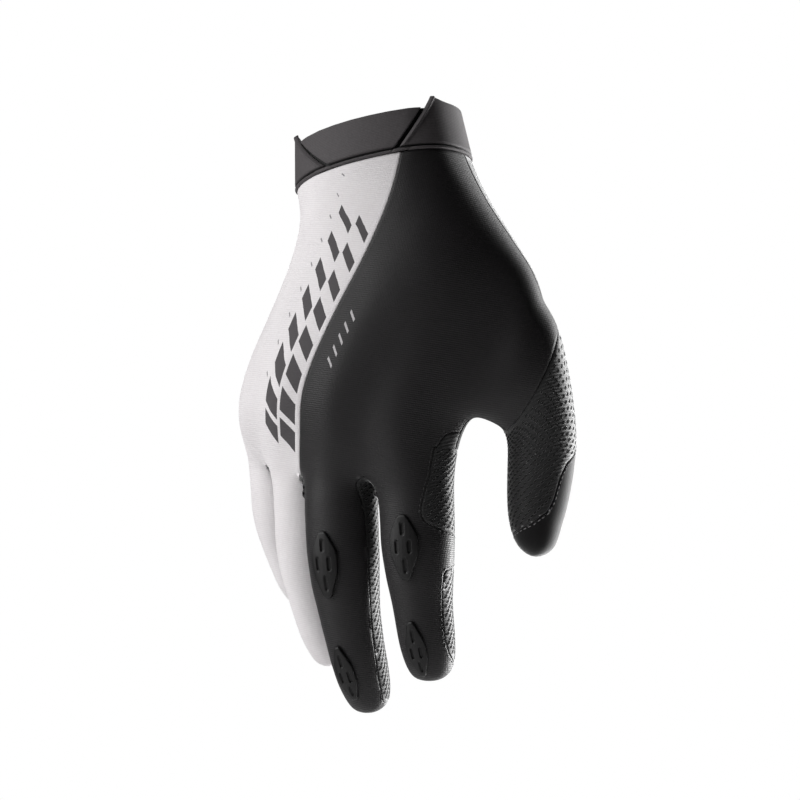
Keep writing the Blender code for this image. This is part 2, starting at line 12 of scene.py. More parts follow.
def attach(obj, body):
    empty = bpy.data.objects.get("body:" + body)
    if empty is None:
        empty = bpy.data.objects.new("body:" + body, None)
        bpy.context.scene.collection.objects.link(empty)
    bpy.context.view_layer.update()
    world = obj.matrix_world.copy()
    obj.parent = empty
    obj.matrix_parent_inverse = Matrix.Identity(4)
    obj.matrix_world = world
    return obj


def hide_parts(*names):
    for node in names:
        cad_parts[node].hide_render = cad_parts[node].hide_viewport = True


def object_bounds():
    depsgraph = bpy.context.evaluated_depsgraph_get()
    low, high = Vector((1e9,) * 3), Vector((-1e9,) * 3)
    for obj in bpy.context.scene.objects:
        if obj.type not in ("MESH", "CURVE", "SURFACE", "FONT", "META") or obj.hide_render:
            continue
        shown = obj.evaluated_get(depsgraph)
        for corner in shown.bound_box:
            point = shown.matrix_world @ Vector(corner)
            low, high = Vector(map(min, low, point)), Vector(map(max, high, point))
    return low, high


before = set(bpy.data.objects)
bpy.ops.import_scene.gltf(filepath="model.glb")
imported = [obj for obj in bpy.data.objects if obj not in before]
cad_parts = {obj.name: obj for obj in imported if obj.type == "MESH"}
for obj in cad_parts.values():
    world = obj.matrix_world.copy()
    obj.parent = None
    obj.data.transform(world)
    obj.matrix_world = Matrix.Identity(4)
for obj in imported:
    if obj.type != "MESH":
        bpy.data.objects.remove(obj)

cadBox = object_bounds()
print("frame loaded:", len(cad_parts), "nodes")

# The hand that the glove keeps its form on, in metres and degrees
hand = {
    "lean": math.radians(18.0), "palmLength": 0.107, "width": 0.088, "depth": 0.031, "knuckleRise": 0.0030,
    "fingerWidth": 0.0262, "fingerDepth": 0.0240, "thumbLength": 0.070, "thumbWidth": 0.0240,
    "thumbRoot": 0.50, "cuffHeight": 0.0180, "edgeShare": 0.93, "sectionPower": 2.3, "smoothing": 3,
}

# Palm sections from the cuff to the knuckles, as shares of the palm's length, the width and the depth
PalmSection = namedtuple("PalmSection", "down side back width depth archLittle archThumb tilt split bump")
palmSections = [PalmSection(*row) for row in (
    (0.00, -0.012, 0.00, 0.745, 1.52, 0.00, 0.00, 0.0, 0.62, 0.0),
    (0.13, 0.072, 0.02, 0.80, 1.46, 0.02, 0.05, 0.4, 0.34, 0.0),
    (0.30, 0.172, 0.05, 1.05, 1.40, 0.10, 0.35, 0.8, -0.10, 0.0),
    (0.51, 0.085, 0.10, 1.11, 1.30, 0.35, 0.40, 1.0, -0.15, 0.2),
    (0.74, -0.052, 0.12, 1.12, 1.12, 0.62, 0.25, 1.0, -0.10, 0.8),
    (0.87, -0.086, 0.06, 1.14, 1.00, 0.80, 0.18, 1.0, -0.02, 1.0),
)]
thumbHoleTop, thumbHoleWeb = 2, 4

# Fingers from the little finger to the index. Angles are degrees, the rest shares, and length is metres
Finger = namedtuple("Finger", "name length side down palm splay roll curl midCurl tipCurl width depth")
fingers = [Finger(*row) for row in (
    ("little", 0.060, -0.487, 0.97, 0.82, -5, -38, 16, 14, 8, 0.82, 0.84),
    ("ring", 0.076, -0.257, 1.00, 0.42, 2.5, -22, 10, 12, 8, 0.90, 0.92),
    ("middle", 0.088, 0.007, 1.00, 0.00, 10.4, -4, 4, 12, 10, 1.00, 1.00),
    ("index", 0.073, 0.328, 0.97, 0.12, 10.4, 4, 4, 8, 8, 1.00, 1.00),
)]
little, ring, middle, index = range(4)
FingerSection = namedtuple("FingerSection", "along width depth")
fingerSections = [FingerSection(*row) for row in (
    (0.00, 1.00, 1.06),
    (0.08, 1.00, 1.03),
    (0.22, 1.00, 0.99),
    (0.35, 0.99, 0.99),
    (0.47, 0.91, 0.92),
    (0.60, 0.79, 0.83),
    (0.74, 0.77, 0.79),
    (0.87, 0.70, 0.70),
    (0.96, 0.52, 0.49),
)]
middleJoint, tipJoint, jointSpread, fingerTip, tipRing = 0.41, 0.70, 0.09, 0.99, 0.96

# Thumb sections from its seam on the hand to its tip
ThumbSection = namedtuple("ThumbSection", "down side palm tilt lead width depth")
thumbSections = [ThumbSection(*row) for row in (
    (0.08, 0.640, 0.40, 74, 26, 1.84, 1.25),
    (0.12, 0.682, 0.54, 71, 48, 1.78, 1.25),
    (0.32, 0.722, 0.72, 44, 34, 1.26, 1.08),
    (0.47, 0.735, 0.82, 24, 16, 1.08, 1.00),
    (0.62, 0.738, 0.87, 16, 5, 0.98, 0.96),
    (0.77, 0.743, 0.87, 9, 0, 0.88, 0.90),
    (0.89, 0.755, 0.87, 22, 0, 0.71, 0.78),
    (0.98, 0.775, 0.87, 12, 0, 0.50, 0.56),
)]
thumbTipDown, thumbSeamBand = 1.055, 2

# A closed ring of control points settles at this share of its own size once it is smoothed
ringShare = 2 / 3 + math.cos(math.tau / 8) / 3
palmShare = 2 / 3 + math.cos(math.tau / 20) / 3
ringAngles = tuple(math.radians(a) for a in (135, 90, 45, 0, -45, -90, -135, 180))
backLeft, backMid, backRight, right, palmRight, palmMid, palmLeft, left = range(8)

panelNames = (
    "back_white", "back_black", "palm", "fourchette_little_ring", "fourchette_ring_middle",
    "fourchette_middle_index", "index_side", "thumb_shell", "thumb_palm",
)
fourchettes = panelNames[3:6]
palmChart, thumbChart = 0, 5  # charts 1 to 4 are the fingers

handPlace = Matrix.Translation((0, 0, -hand["cuffHeight"])) @ Matrix.Rotation(hand["lean"], 4, "Y")


def smoothstep(x):
    x = min(1.0, max(0.0, x))
    return x * x * (3 - 2 * x)


def mix(a, b, share):
    return a + (b - a) * share


class FingerLine:
    def __init__(self, finger):
        self.finger = finger
        turn = Matrix.Rotation(math.radians(finger.splay), 3, "Y").inverted()
        turn = turn @ Matrix.Rotation(math.radians(finger.roll), 3, "Z")
        self.side, self.back, self.ahead = (turn @ Vector(v) for v in ((1, 0, 0), (0, -1, 0), (0, 0, -1)))
        down = -finger.down * hand["palmLength"]
        self.root = Vector((finger.side * hand["width"], finger.palm * hand["depth"], down))

    def curl(self, along):
        mid, tip = (smoothstep((along - at) / (2 * jointSpread) + 0.5) for at in (middleJoint, tipJoint))
        return math.radians(self.finger.curl + mid * self.finger.midCurl + tip * self.finger.tipCurl)

    def aheadAt(self, along):
        return self.ahead * math.cos(self.curl(along)) - self.back * math.sin(self.curl(along))

    def backAt(self, along):
        return self.back * math.cos(self.curl(along)) + self.ahead * math.sin(self.curl(along))

    def point(self, along, steps=24):
        step = along / steps
        place = self.root.copy()
        for i in range(steps):
            place += self.aheadAt((i + 0.5) * step) * step * self.finger.length
        return place

    def ring(self, section):
        centre, back = self.point(section.along), self.backAt(section.along)
        halfWidth = section.width * self.finger.width * hand["fingerWidth"] / 2 / ringShare
        halfDepth = section.depth * self.finger.depth * hand["fingerDepth"] / 2 / ringShare
        side, back = self.side * halfWidth, back * halfDepth
        return [centre + side * math.cos(a) + back * math.sin(a) for a in ringAngles]


def palmPoint(section, across, onBack, bump=0.0):
    fullness = (1 - abs(across) ** hand["sectionPower"]) ** (1 / hand["sectionPower"])
    arch = (section.archLittle if across < 0 else section.archThumb) * across * across
    depth = section.depth / 2 * fullness / palmShare * (-1 if onBack else 1)
    x = (section.side + across * section.width / 2 / palmShare) * hand["width"]
    y = (arch - section.back + depth) * hand["depth"] - bump * section.bump * hand["knuckleRise"]
    untilt = Matrix.Rotation(hand["lean"] * (section.tilt - 1), 3, "Y")
    return Vector((0, 0, -section.down * hand["palmLength"])) + untilt @ Vector((x, y, 0))


def thumbCentre(section):
    down = -hand["thumbRoot"] * hand["palmLength"] - section.down * hand["thumbLength"]
    return Vector((section.side * hand["width"], section.palm * hand["depth"], down))


def thumbRing(section):
    tilt, lead = math.radians(section.tilt), math.radians(section.lead)
    turn = Matrix.Rotation(-tilt, 3, "Y") @ Matrix.Rotation(lead, 3, "X")
    side, back = turn @ Vector((1, 0, 0)), turn @ Vector((0, -1, 0))
    halfWidth, halfDepth = (s * hand["thumbWidth"] / 2 / ringShare for s in (section.width, section.depth))
    centre = thumbCentre(section)
    return [centre + side * math.cos(a) * halfWidth + back * math.sin(a) * halfDepth for a in ringAngles]


class Cage:
    # The control cage of the hand. Its faces know their panel, their chart and their place on it, in metres

    def __init__(self):
        self.mesh = bmesh.new()
        self.lay = self.mesh.loops.layers.uv.new("lay")
        self.chart = self.mesh.faces.layers.int.new("chart")
        self.buildPalm()
        self.buildFingers()
        self.buildThumb()

    def vert(self, place):
        return self.mesh.verts.new(handPlace @ place)

    def face(self, corners, lays, panel, chart):
        made = self.mesh.faces.new(corners)
        made.material_index = panelNames.index(panel)
        made[self.chart] = chart
        for loop, at in zip(made.loops, lays):
            loop[self.lay].uv = at

    def bandFace(self, above, below, column, panel, chart, cell, downs, firstColumn=0):
        after = (column + 1) % len(above)
        u = [(column - firstColumn + i) * cell for i in (0, 0, 1, 1)]
        v = [downs[i] for i in (0, 1, 1, 0)]
        self.face((above[column], below[column], below[after], above[after]), list(zip(u, v)), panel, chart)

    def buildPalm(self):
        self.rows = []
        for section in palmSections:
            back = [mix(-hand["edgeShare"], section.split, i / 4) for i in range(4)]
            back += [mix(section.split, hand["edgeShare"], i / 4) for i in range(5)]
            palm = [mix(hand["edgeShare"], -hand["edgeShare"], i / 8) for i in range(9)]
            bumps = [0.0] + [1.0, -1.0] * 3 + [1.0, 0.0]
            row = [self.vert(palmPoint(section, t, True, bump)) for t, bump in zip(back, bumps)]
            row.append(self.vert(palmPoint(section, 1, True)))
            row += [self.vert(palmPoint(section, t, False)) for t in palm]
            row.append(self.vert(palmPoint(section, -1, True)))
            self.rows.append(row)
        self.buildWebRow()
        cell = hand["width"] / 9
        downs = [section.down * hand["palmLength"] for section in palmSections] + [hand["palmLength"]]
        indexCell = math.pi * hand["fingerWidth"] / 8
        for r in range(len(self.rows) - 1):
            for c in range(20):
                if thumbHoleTop <= r < thumbHoleWeb and c in (8, 9):
                    continue
                args = self.rows[r], self.rows[r + 1], c
                if r == len(self.rows) - 2 and c in (8, 9):
                    onIndex = [d - hand["palmLength"] for d in downs[r:]]
                    self.bandFace(*args, "index_side", index + 1, indexCell, onIndex, 6)
                    continue
                panel = "back_white" if c < 4 or c == 19 else "back_black" if c < 9 else "palm"
                self.bandFace(*args, panel, palmChart, cell, downs[r:])
        for r in range(thumbHoleTop + 1, thumbHoleWeb):
            self.mesh.verts.remove(self.rows[r][9])

    def buildWebRow(self):
        self.lines = [FingerLine(finger) for finger in fingers]
        roots = [line.ring(fingerSections[0]) for line in self.lines]
        back, palm, self.webs = [], [], []
        for i, root in enumerate(roots):
            before = roots[i - 1] if i else None
            back += [self.shared(root[backLeft], before, backRight), self.vert(root[backMid])]
            palm += [self.shared(root[palmLeft], before, palmRight), self.vert(root[palmMid])]
            if before:
                self.webs.append(self.shared(root[left], before, right))
        back.append(self.vert(roots[-1][backRight]))
        palm.append(self.vert(roots[-1][palmRight]))
        self.rows.append([*back, self.vert(roots[-1][right]), *reversed(palm), self.vert(roots[0][left])])

    def shared(self, place, neighbour, corner):
        return self.vert((place + neighbour[corner]) / 2 if neighbour else place)

    def buildFingers(self):
        row = self.rows[-1]
        for i, line in enumerate(self.lines):
            leftVert = self.webs[i - 1] if i else row[19]
            rightVert = self.webs[i] if i < len(self.webs) else row[9]
            above = [row[2 * i], row[2 * i + 1], row[2 * i + 2], rightVert]
            above += [row[18 - 2 * i - 2], row[18 - 2 * i - 1], row[18 - 2 * i], leftVert]
            cell = math.pi * hand["fingerWidth"] * line.finger.width / 8
            for start, section in zip(fingerSections, fingerSections[1:]):
                below = [self.vert(place) for place in line.ring(section)]
                downs = [start.along * line.finger.length, section.along * line.finger.length]
                for c in range(8):
                    self.bandFace(above, below, c, self.fingerPanel(i, c), i + 1, cell, downs)
                above = below
            cloth = "back_white" if i < middle else "back_black"
            self.cap(above, line.point(fingerTip), cloth, "palm", i + 1, cell, line.finger.length)

    def fingerPanel(self, finger, column):
        cloth = "back_white" if finger < middle else "back_black"
        if column < 2:
            return cloth
        if column < 4:
            return fourchettes[finger] if finger < index else "index_side"
        if column < 6:
            return "palm"
        if finger == little:
            return "palm" if column == 6 else cloth
        return fourchettes[finger - 1]

    def cap(self, above, tip, backPanel, palmPanel, chart, cell, length):
        centre = self.vert(tip)
        for start, panel in ((7, backPanel), (1, backPanel), (3, palmPanel), (5, palmPanel)):
            ends = [above[start], centre, above[(start + 2) % 8], above[(start + 1) % 8]]
            first = -1 if start == 7 else start
            around = ((0, tipRing), (1, 1.0), (2, tipRing), (1, tipRing))
            lays = [((first + turn) * cell, down * length) for turn, down in around]
            self.face(ends, lays, panel, chart)

    def buildThumb(self):
        top, mid, web = (self.rows[r] for r in (thumbHoleTop, thumbHoleTop + 1, thumbHoleWeb))
        above = [web[8], mid[8], top[8], top[9], top[10], mid[10], web[10], web[9]]
        cell = math.pi * hand["thumbWidth"] / 8
        before = 0.0
        for n, section in enumerate(thumbSections):
            below = [self.vert(place) for place in thumbRing(section)]
            downs = [before * hand["thumbLength"], section.down * hand["thumbLength"]]
            for c in range(8):
                self.bandFace(above, below, c, self.thumbPanel(n, c), thumbChart, cell, downs)
            above, before = below, section.down
        tip = thumbCentre(thumbSections[-1]._replace(down=thumbTipDown))
        self.cap(above, tip, "thumb_palm", "thumb_palm", thumbChart, cell, hand["thumbLength"] * thumbTipDown)

    def thumbPanel(self, band, column):
        if band < thumbSeamBand:
            return "palm" if 3 <= column <= 6 else "back_black"
        return "thumb_palm" if column in (4, 5) else "thumb_shell"


def addObject(name, data):
    made = bpy.data.objects.new(name, data)
    bpy.context.scene.collection.objects.link(made)
    return made


def asMesh(name, solid):
    mesh = bpy.data.meshes.new(name)
    solid.to_mesh(mesh)
    solid.free()
    return mesh


def walked(points):
    # Metres along a line of points at each of them
    return np.concatenate([[0], np.cumsum(np.linalg.norm(np.diff(points, axis=0), axis=1))])


def evaluatedMesh(holder):
    bpy.context.view_layer.update()
    return bpy.data.meshes.new_from_object(holder.evaluated_get(bpy.context.evaluated_depsgraph_get()))


def makeSkin():
    cage = Cage()
    cage.mesh.normal_update()
    mesh = bpy.data.meshes.new("skin")
    for name in panelNames:
        mesh.materials.append(None)
    cage.mesh.to_mesh(mesh)
    holder = addObject("skin", mesh)
    smoother = holder.modifiers.new("smooth", "SUBSURF")
    smoother.levels = smoother.render_levels = hand["smoothing"]
    smooth = evaluatedMesh(holder)
    bpy.data.objects.remove(holder)
    skin = bmesh.new()
    skin.from_mesh(smooth)
    return skin


# Where panels meet across the cage's own lines: columns round the finger or thumb, and shares of its length.
# Column 0 is the back's little finger side, and the columns run over the back to the thumb side
thumbTipBorder = (
    (0.0, 0.895), (1.4, 0.862), (2.05, 0.812), (2.29, 0.74), (2.38, 0.635),
    (2.6, 0.58), (3.1, 0.55), (3.95, 0.47), (4.0, 0.12), (6.0, 0.12),
    (6.05, 0.86), (7.0, 0.90), (8.0, 0.895),
)
gussetOutline = (
    (2.0, -0.25), (1.99, 0.0), (1.73, 0.114), (1.65, 0.165), (1.70, 0.198),
    (1.97, 0.227), (2.36, 0.247), (2.71, 0.258), (4.2, 0.30), (4.2, -0.25),
)
lowSideOutline = (
    (2.50, 0.44), (2.42, 0.60), (2.40, 0.76), (2.62, 0.84), (3.2, 0.90),
    (4.2, 0.91), (4.2, 0.43),
)
gussetTop = (
    (8.0, 0.885), (8.12, 0.858), (8.26, 0.823), (8.5, 0.808), (9.0, 0.80),
)

# How far the back's cloth reaches round a finger's side past its edge: columns, and share of the finger
sideReach = (
    (0.0, -0.01), (0.05, 0.03), (0.45, 0.10), (0.62, 0.17), (0.70, 0.50),
    (0.62, 0.68), (0.50, 0.82), (0.55, 0.92), (1.2, 0.965), (1.2, 1.10),
)
nearCorner = 0.2  # a cut this near to a corner, as a share of the edge, moves the corner instead


def borderHeight(border, cell, length):
    turns, downs = np.array(border).T * [[cell], [length]]
    return lambda u, v: v - float(np.interp(u, turns, downs))


def outlineHeight(outline, cell, length):
    # Metres inside an outline drawn on a chart, or below zero outside it.
    corners = [Vector((turn * cell, down * length)) for turn, down in outline]

    def height(u, v):
        at, inside, nearest = Vector((u, v)), False, 1.0
        for a, b in zip(corners, corners[1:] + corners[:1]):
            side = b - a
            share = min(1.0, max(0.0, (at - a).dot(side) / side.length_squared))
            nearest = min(nearest, (at - a - side * share).length)
            if (a.y > v) != (b.y > v) and u < a.x + (v - a.y) / side.y * side.x:
                inside = not inside
        return nearest if inside else -nearest

    return height


def recut(skin, chart, panels, height, above, below):
    # Moves the border between two panels of a chart to where height is zero, splitting the faces it crosses
    lay, charts = skin.loops.layers.uv["lay"], skin.faces.layers.int["chart"]
    picked = [panelNames.index(name) for name in panels]
    faces = [f for f in skin.faces if f[charts] == chart and f.material_index in picked]
    level = {}
    for face in faces:
        for loop in face.loops:
            level[loop.vert] = height(*loop[lay].uv)
    on = {}
    for edge in list(dict.fromkeys(e for f in faces for e in f.edges)):
        a, b = edge.verts
        if level[a] * level[b] >= 0:
            continue
        share = level[a] / (level[a] - level[b])
        if nearCorner < share < 1 - nearCorner:
            cut = bmesh.utils.edge_split(edge, a, share)[1]
        else:
            cut = a if share <= nearCorner else b
            cut.co = mix(a.co, b.co, share)
        level[cut] = 0.0
        on[cut] = True
    bmesh.ops.connect_verts(skin, verts=list(on))
    for face in skin.faces:
        if face[charts] == chart and face.material_index in picked:
            total = sum(level.get(v, 0.0) for v in face.verts)
            face.material_index = panelNames.index(above if total > 0 else below)


def linear(hexColour):
    parts = [int(hexColour[i:i + 2], 16) / 255 for i in (0, 2, 4)]
    return (*(p / 12.92 if p <= 0.04045 else ((p + 0.055) / 1.055) ** 2.4 for p in parts), 1.0)


def addNode(tree, kind, inputs=(), out=0, **settings):
    # Adds a node with its settings and its inputs, each a value or a socket to link, and returns one output
    node = tree.nodes.new(kind)
    for key, value in settings.items():
        setattr(node, key, value)
    for key, value in inputs.items() if isinstance(inputs, dict) else enumerate(inputs):
        if isinstance(value, bpy.types.NodeSocket):
            tree.links.new(value, node.inputs[key])
        else:
            node.inputs[key].default_value = value
    return node.outputs[out] if len(node.outputs) else None


# The print, in metres from the white edge and down it. Each row: from and to across, start, pitch and count
# of its marks down the slant, width of the first and the last as a share of the pitch, and colour
printSlant = 0.75
Marks = namedtuple("Marks", "near far start pitch count first last colour")
whitePrint = (
    Marks(0.0020, 0.0084, 0.0324, 0.0108, 8, 0.30, 0.80, "504D4F"),
    Marks(0.0096, 0.0168, 0.0378, 0.0108, 8, 0.30, 0.80, "504D4F"),
    Marks(0.0190, 0.0203, 0.02625, 0.0098, 9, 1 / 14, 1 / 14, "8A8789"),
)
blackPrint = (Marks(-0.0088, -0.0058, 0.05165, 0.0046, 5, 0.2391, 0.2391, "B9B6B8"),)

# The finishes. A pattern is fine ribs along a direction, or a grain where it has none: metres between ribs or
# across grains, and how much it adds to the colour and to the relief. depth: metres of the relief
Pattern = namedtuple("Pattern", "size colour relief direction detail", defaults=(None, 2.0))
jersey = (
    Pattern(0.00072, 0.25, 1.0, (0, 0, 1)),  # courses, really about 0.45 mm apart and drawn wider to show
    Pattern(0.00060, 0.0875, 0.35, (1, 0.25, 0)),  # wales, drawn wider too
    Pattern(0.0011, 0.35, 0.8), Pattern(0.016, 0.35, 0.0),
)
twist = (Pattern(0.0005, 0.0, 1.0, (0.6, 0.3, 0.74)),)
finishes = {
    # Stretch polyester jersey, printed: matt, with fine courses and little sheen
    "white_polyester_jersey": {
        "colours": ("D6D1D3", "F2EFF0"), "patterns": jersey, "depth": 0.000045, "lean": 18.0,
        "print": whitePrint,
        "Roughness": 0.74, "Specular IOR Level": 0.22, "Sheen Weight": 0.06, "Sheen Roughness": 0.45,
    },
    # The same jersey, dyed: dark, with a soft sheen at grazing light
    "black_polyester_jersey": {
        "colours": ("0C0A0C", "191618"), "patterns": jersey, "depth": 0.000045, "lean": 18.0,
        "print": blackPrint,
        "Roughness": 0.55, "Specular IOR Level": 0.36, "Sheen Weight": 0.13, "Sheen Roughness": 0.45,
    },
    # Perforated warp knit: matt black with slanted ribs between the holes
    "perforated_warp_knit": {
        "colours": ("090809", "141314"), "depth": 0.00006,
        "patterns": (Pattern(0.00095, 0.5, 1.0, (-0.34, 0, 0.94)), Pattern(0.0007, 0.5, 0.4)),
        "Roughness": 0.60, "Specular IOR Level": 0.40, "Sheen Weight": 1.0, "Sheen Roughness": 0.4,
    },
    # Microsuede: a short nap with soft blotches where it lies in different ways
    "black_microsuede": {
        "colours": ("0A090A", "151415"), "depth": 0.00006,
        "patterns": (Pattern(0.0006, 0.4, 1.0, None, 3.0), Pattern(0.012, 0.6, 0.0)),
        "Roughness": 0.88, "Specular IOR Level": 0.18, "Sheen Weight": 0.8, "Sheen Roughness": 0.4,
    },
    # Knit-faced elastic of the cuff: close, flat ribs round the wrist, with painted shade in its seam groove
    # and on its tongues where they show in the channels
    "charcoal_elastic": {
        "colours": ("3C393A", "565254"), "depth": 0.000018, "inCavity": "040404",
        "patterns": (Pattern(0.00060, 0.3, 1.0, (0, 0, 1)), Pattern(0.0008, 0.6, 0.8)),
        "Roughness": 0.68, "Specular IOR Level": 0.28, "Sheen Weight": 0.06,
    },
    # Moulded thermoplastic rubber: fine spark texture with a broad, uneven gloss
    "black_tpr": {
        "colours": ("070607", "0E0D0E"), "depth": 0.00003, "Specular IOR Level": 0.35,
        "patterns": (Pattern(0.00035, 1.0, 1.0, None, 1.0),),
        "unevenGloss": (0.003, 0.14, 0.40),  # metres across its patches, share and least roughness
    },
    # Bonded polyester thread, with the twist of its plies
    "grey_thread": {
        "colours": ("7A787A",) * 2, "depth": 0.00003, "patterns": twist,
        "Roughness": 0.5, "Sheen Weight": 0.15,
    },
    "black_thread": {
        "colours": ("0E0D0E",) * 2, "depth": 0.00003, "patterns": twist,
        "Roughness": 0.5, "Sheen Weight": 0.15,
    },
    # Painted shade on the floor of each hole of the knit, in place of the hole's dark depth
    "shade_in_holes": {"colours": ("050505",) * 2, "patterns": (), "Roughness": 0.9},
    "painted_floor": {"colours": ("F4F4F4",) * 2, "patterns": (), "Roughness": 0.8},
}


def addPrint(tree, colour, rows):
    names = ("printAcross", "printDown")
    across, down = (addNode(tree, "ShaderNodeAttribute", out="Fac", attribute_name=name) for name in names)
    slanted = addNode(tree, "ShaderNodeMath", (across, printSlant, down), operation="MULTIPLY_ADD")
    for row in rows:
        turn = (slanted, 1 / row.pitch, -row.start / row.pitch)
        turns = addNode(tree, "ShaderNodeMath", turn, operation="MULTIPLY_ADD")
        growing = (turns, (row.last - row.first) / row.count, row.first)
        width = addNode(tree, "ShaderNodeMath", growing, operation="MULTIPLY_ADD")
        phase = addNode(tree, "ShaderNodeMath", (turns,), operation="FRACT")
        mask = addNode(tree, "ShaderNodeMath", (phase, width), operation="LESS_THAN")
        for value, low, high in ((across, row.near, row.far), (turns, 0.0, row.count)):
            span = (value, (low + high) / 2, (high - low) / 2)
            inside = addNode(tree, "ShaderNodeMath", span, operation="COMPARE")
            mask = addNode(tree, "ShaderNodeMath", (mask, inside), operation="MULTIPLY")
        layers = {0: mask, 6: colour, 7: linear(row.colour)}
        colour = addNode(tree, "ShaderNodeMix", layers, 2, data_type="RGBA")
    return colour


def addPatterns(tree, place, patterns):
    totals = [0.0, 0.0]
    for pattern in patterns:
        if pattern.direction:
            sides = (place, pattern.direction)
            along = addNode(tree, "ShaderNodeVectorMath", sides, "Value", operation="DOT_PRODUCT")
            turns = addNode(tree, "ShaderNodeMath", (along, math.tau / pattern.size), operation="MULTIPLY")
            wave = addNode(tree, "ShaderNodeMath", (turns,), operation="SINE")
            height = addNode(tree, "ShaderNodeMath", (wave, 0.5, 0.5), operation="MULTIPLY_ADD")
        else:
            grain = {"Vector": place, "Scale": 1 / pattern.size, "Detail": pattern.detail}
            height = addNode(tree, "ShaderNodeTexNoise", grain, "Fac")
        for i, share in enumerate((pattern.colour, pattern.relief)):
            if share:
                added = (height, share, totals[i])
                totals[i] = addNode(tree, "ShaderNodeMath", added, operation="MULTIPLY_ADD")
    return totals


def makeMaterial(name):
    look = finishes[name]
    made = bpy.data.materials.new(name)
    made.use_nodes = True
    tree = made.node_tree
    shader = tree.nodes["Principled BSDF"]
    for key, value in look.items():
        if key in shader.inputs:
            shader.inputs[key].default_value = value
    place = addNode(tree, "ShaderNodeTexCoord", out="Object")
    if "lean" in look:
        turn = {"Vector": place, "Rotation": (0, -math.radians(look["lean"]), 0)}
        place = addNode(tree, "ShaderNodeMapping", turn)
    tone, relief = addPatterns(tree, place, look["patterns"])
    dark, light = (linear(colour) for colour in look["colours"])
    colour = addNode(tree, "ShaderNodeMix", {0: tone, 6: dark, 7: light}, 2, data_type="RGBA")
    if "print" in look:
        colour = addPrint(tree, colour, look["print"])
    # Painted shade: the colour goes near-black where the cuff marks its seam groove and the tongues in its
    # channels
    if "inCavity" in look:
        painted_groove_shade = addNode(tree, "ShaderNodeAttribute", out="Fac", attribute_name="painted_groove_shade")
        layers = {0: painted_groove_shade, 6: colour, 7: linear(look["inCavity"])}
        colour = addNode(tree, "ShaderNodeMix", layers, 2, data_type="RGBA")
    tree.links.new(colour, shader.inputs["Base Color"])
    if "unevenGloss" in look:
        size, share, least = look["unevenGloss"]
        patches = {"Vector": place, "Scale": 1 / size, "Detail": 2.0}
        grain = addNode(tree, "ShaderNodeTexNoise", patches, "Fac")
        rough = addNode(tree, "ShaderNodeMath", (grain, share, least), operation="MULTIPLY_ADD")
        tree.links.new(rough, shader.inputs["Roughness"])
    if "depth" in look:
        bump = addNode(tree, "ShaderNodeBump", {"Height": relief, "Strength": 1.0, "Distance": look["depth"]})
        tree.links.new(bump, shader.inputs["Normal"])
    return made


materials = {name: makeMaterial(name) for name in finishes}
print("materials:", len(materials))


# How a panel's edge rolls into its seam: metres in from the seam, and metres below the surface
seamRoll = {"in": (0.0, 0.00010, 0.00034), "down": (0.00050, 0.00016, 0.0), "longestMitre": 2.5}


def mitre(inward, distance):
    total = sum(inward, Vector())
    if total.length < 0.1:
        return Vector()
    return total.normalized() * distance * min(len(inward) / total.length, seamRoll["longestMitre"])


def cutPanel(skin, name, wall):
    # One panel of the skin as a closed wall, with its edges rolled down into the seams.
    number = panelNames.index(name)
    faces = [f for f in skin.faces if f.material_index == number]
    inward = {v: [] for f in faces for v in f.verts}
    rim = []
    for face in faces:
        for loop in face.loops:
            edge = loop.edge
            if sum(f.material_index == number for f in edge.link_faces) == 2:
                continue
            rim.append((loop.vert, loop.link_loop_next.vert))
            along = (edge.verts[1].co - edge.verts[0].co).normalized()
            inwards = face.calc_center_median() - (edge.verts[0].co + edge.verts[1].co) / 2
            inwards = (inwards - inwards.dot(along) * along).normalized()
            for v in edge.verts:
                inward[v].append(inwards)
    panel = bmesh.new()
    levels = []
    for into, down in zip(seamRoll["in"], seamRoll["down"]):
        edge = [v for v in inward if inward[v]]
        levels.append({v: panel.verts.new(v.co + mitre(inward[v], into) - v.normal * down) for v in edge})
    outer = {v: levels[-1][v] if inward[v] else panel.verts.new(v.co) for v in inward}
    inner = {v: panel.verts.new(v.co - v.normal * wall) for v in inward}
    for face in faces:
        panel.faces.new([outer[v] for v in face.verts])
        panel.faces.new([inner[v] for v in reversed(face.verts)])
    for a, b in rim:
        for low, high in zip(levels, levels[1:]):
            panel.faces.new((high[b], high[a], low[a], low[b]))
        panel.faces.new((levels[0][b], levels[0][a], inner[a], inner[b]))
    return asMesh(name, panel)


def seamChains(skin, first, second):
    # The seams between two panels, each as vertices in order.
    numbers = {panelNames.index(first), panelNames.index(second)}
    ends = {}
    for edge in skin.edges:
        if len(edge.link_faces) == 2 and {f.material_index for f in edge.link_faces} == numbers:
            for a, b in (edge.verts, reversed(edge.verts)):
                ends.setdefault(a, []).append(b)
    chains, used = [], set()
    for start in [v for v in ends if len(ends[v]) == 1] + list(ends):
        chain = []
        after = start if start not in used else None
        while after is not None:
            chain.append(after)
            used.add(after)
            after = next((v for v in ends[after] if v not in used), None)
        if len(chain) > 3:
            chains.append(chain)
    return chains


def addPiece(name, mesh, slot, material=None, replaced=()):
    if material:
        mesh.materials.clear()
        mesh.materials.append(materials[material])
        mesh.shade_smooth()
    made = addObject(name, mesh)
    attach(made, "root")
    if replaced:
        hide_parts(*replaced)


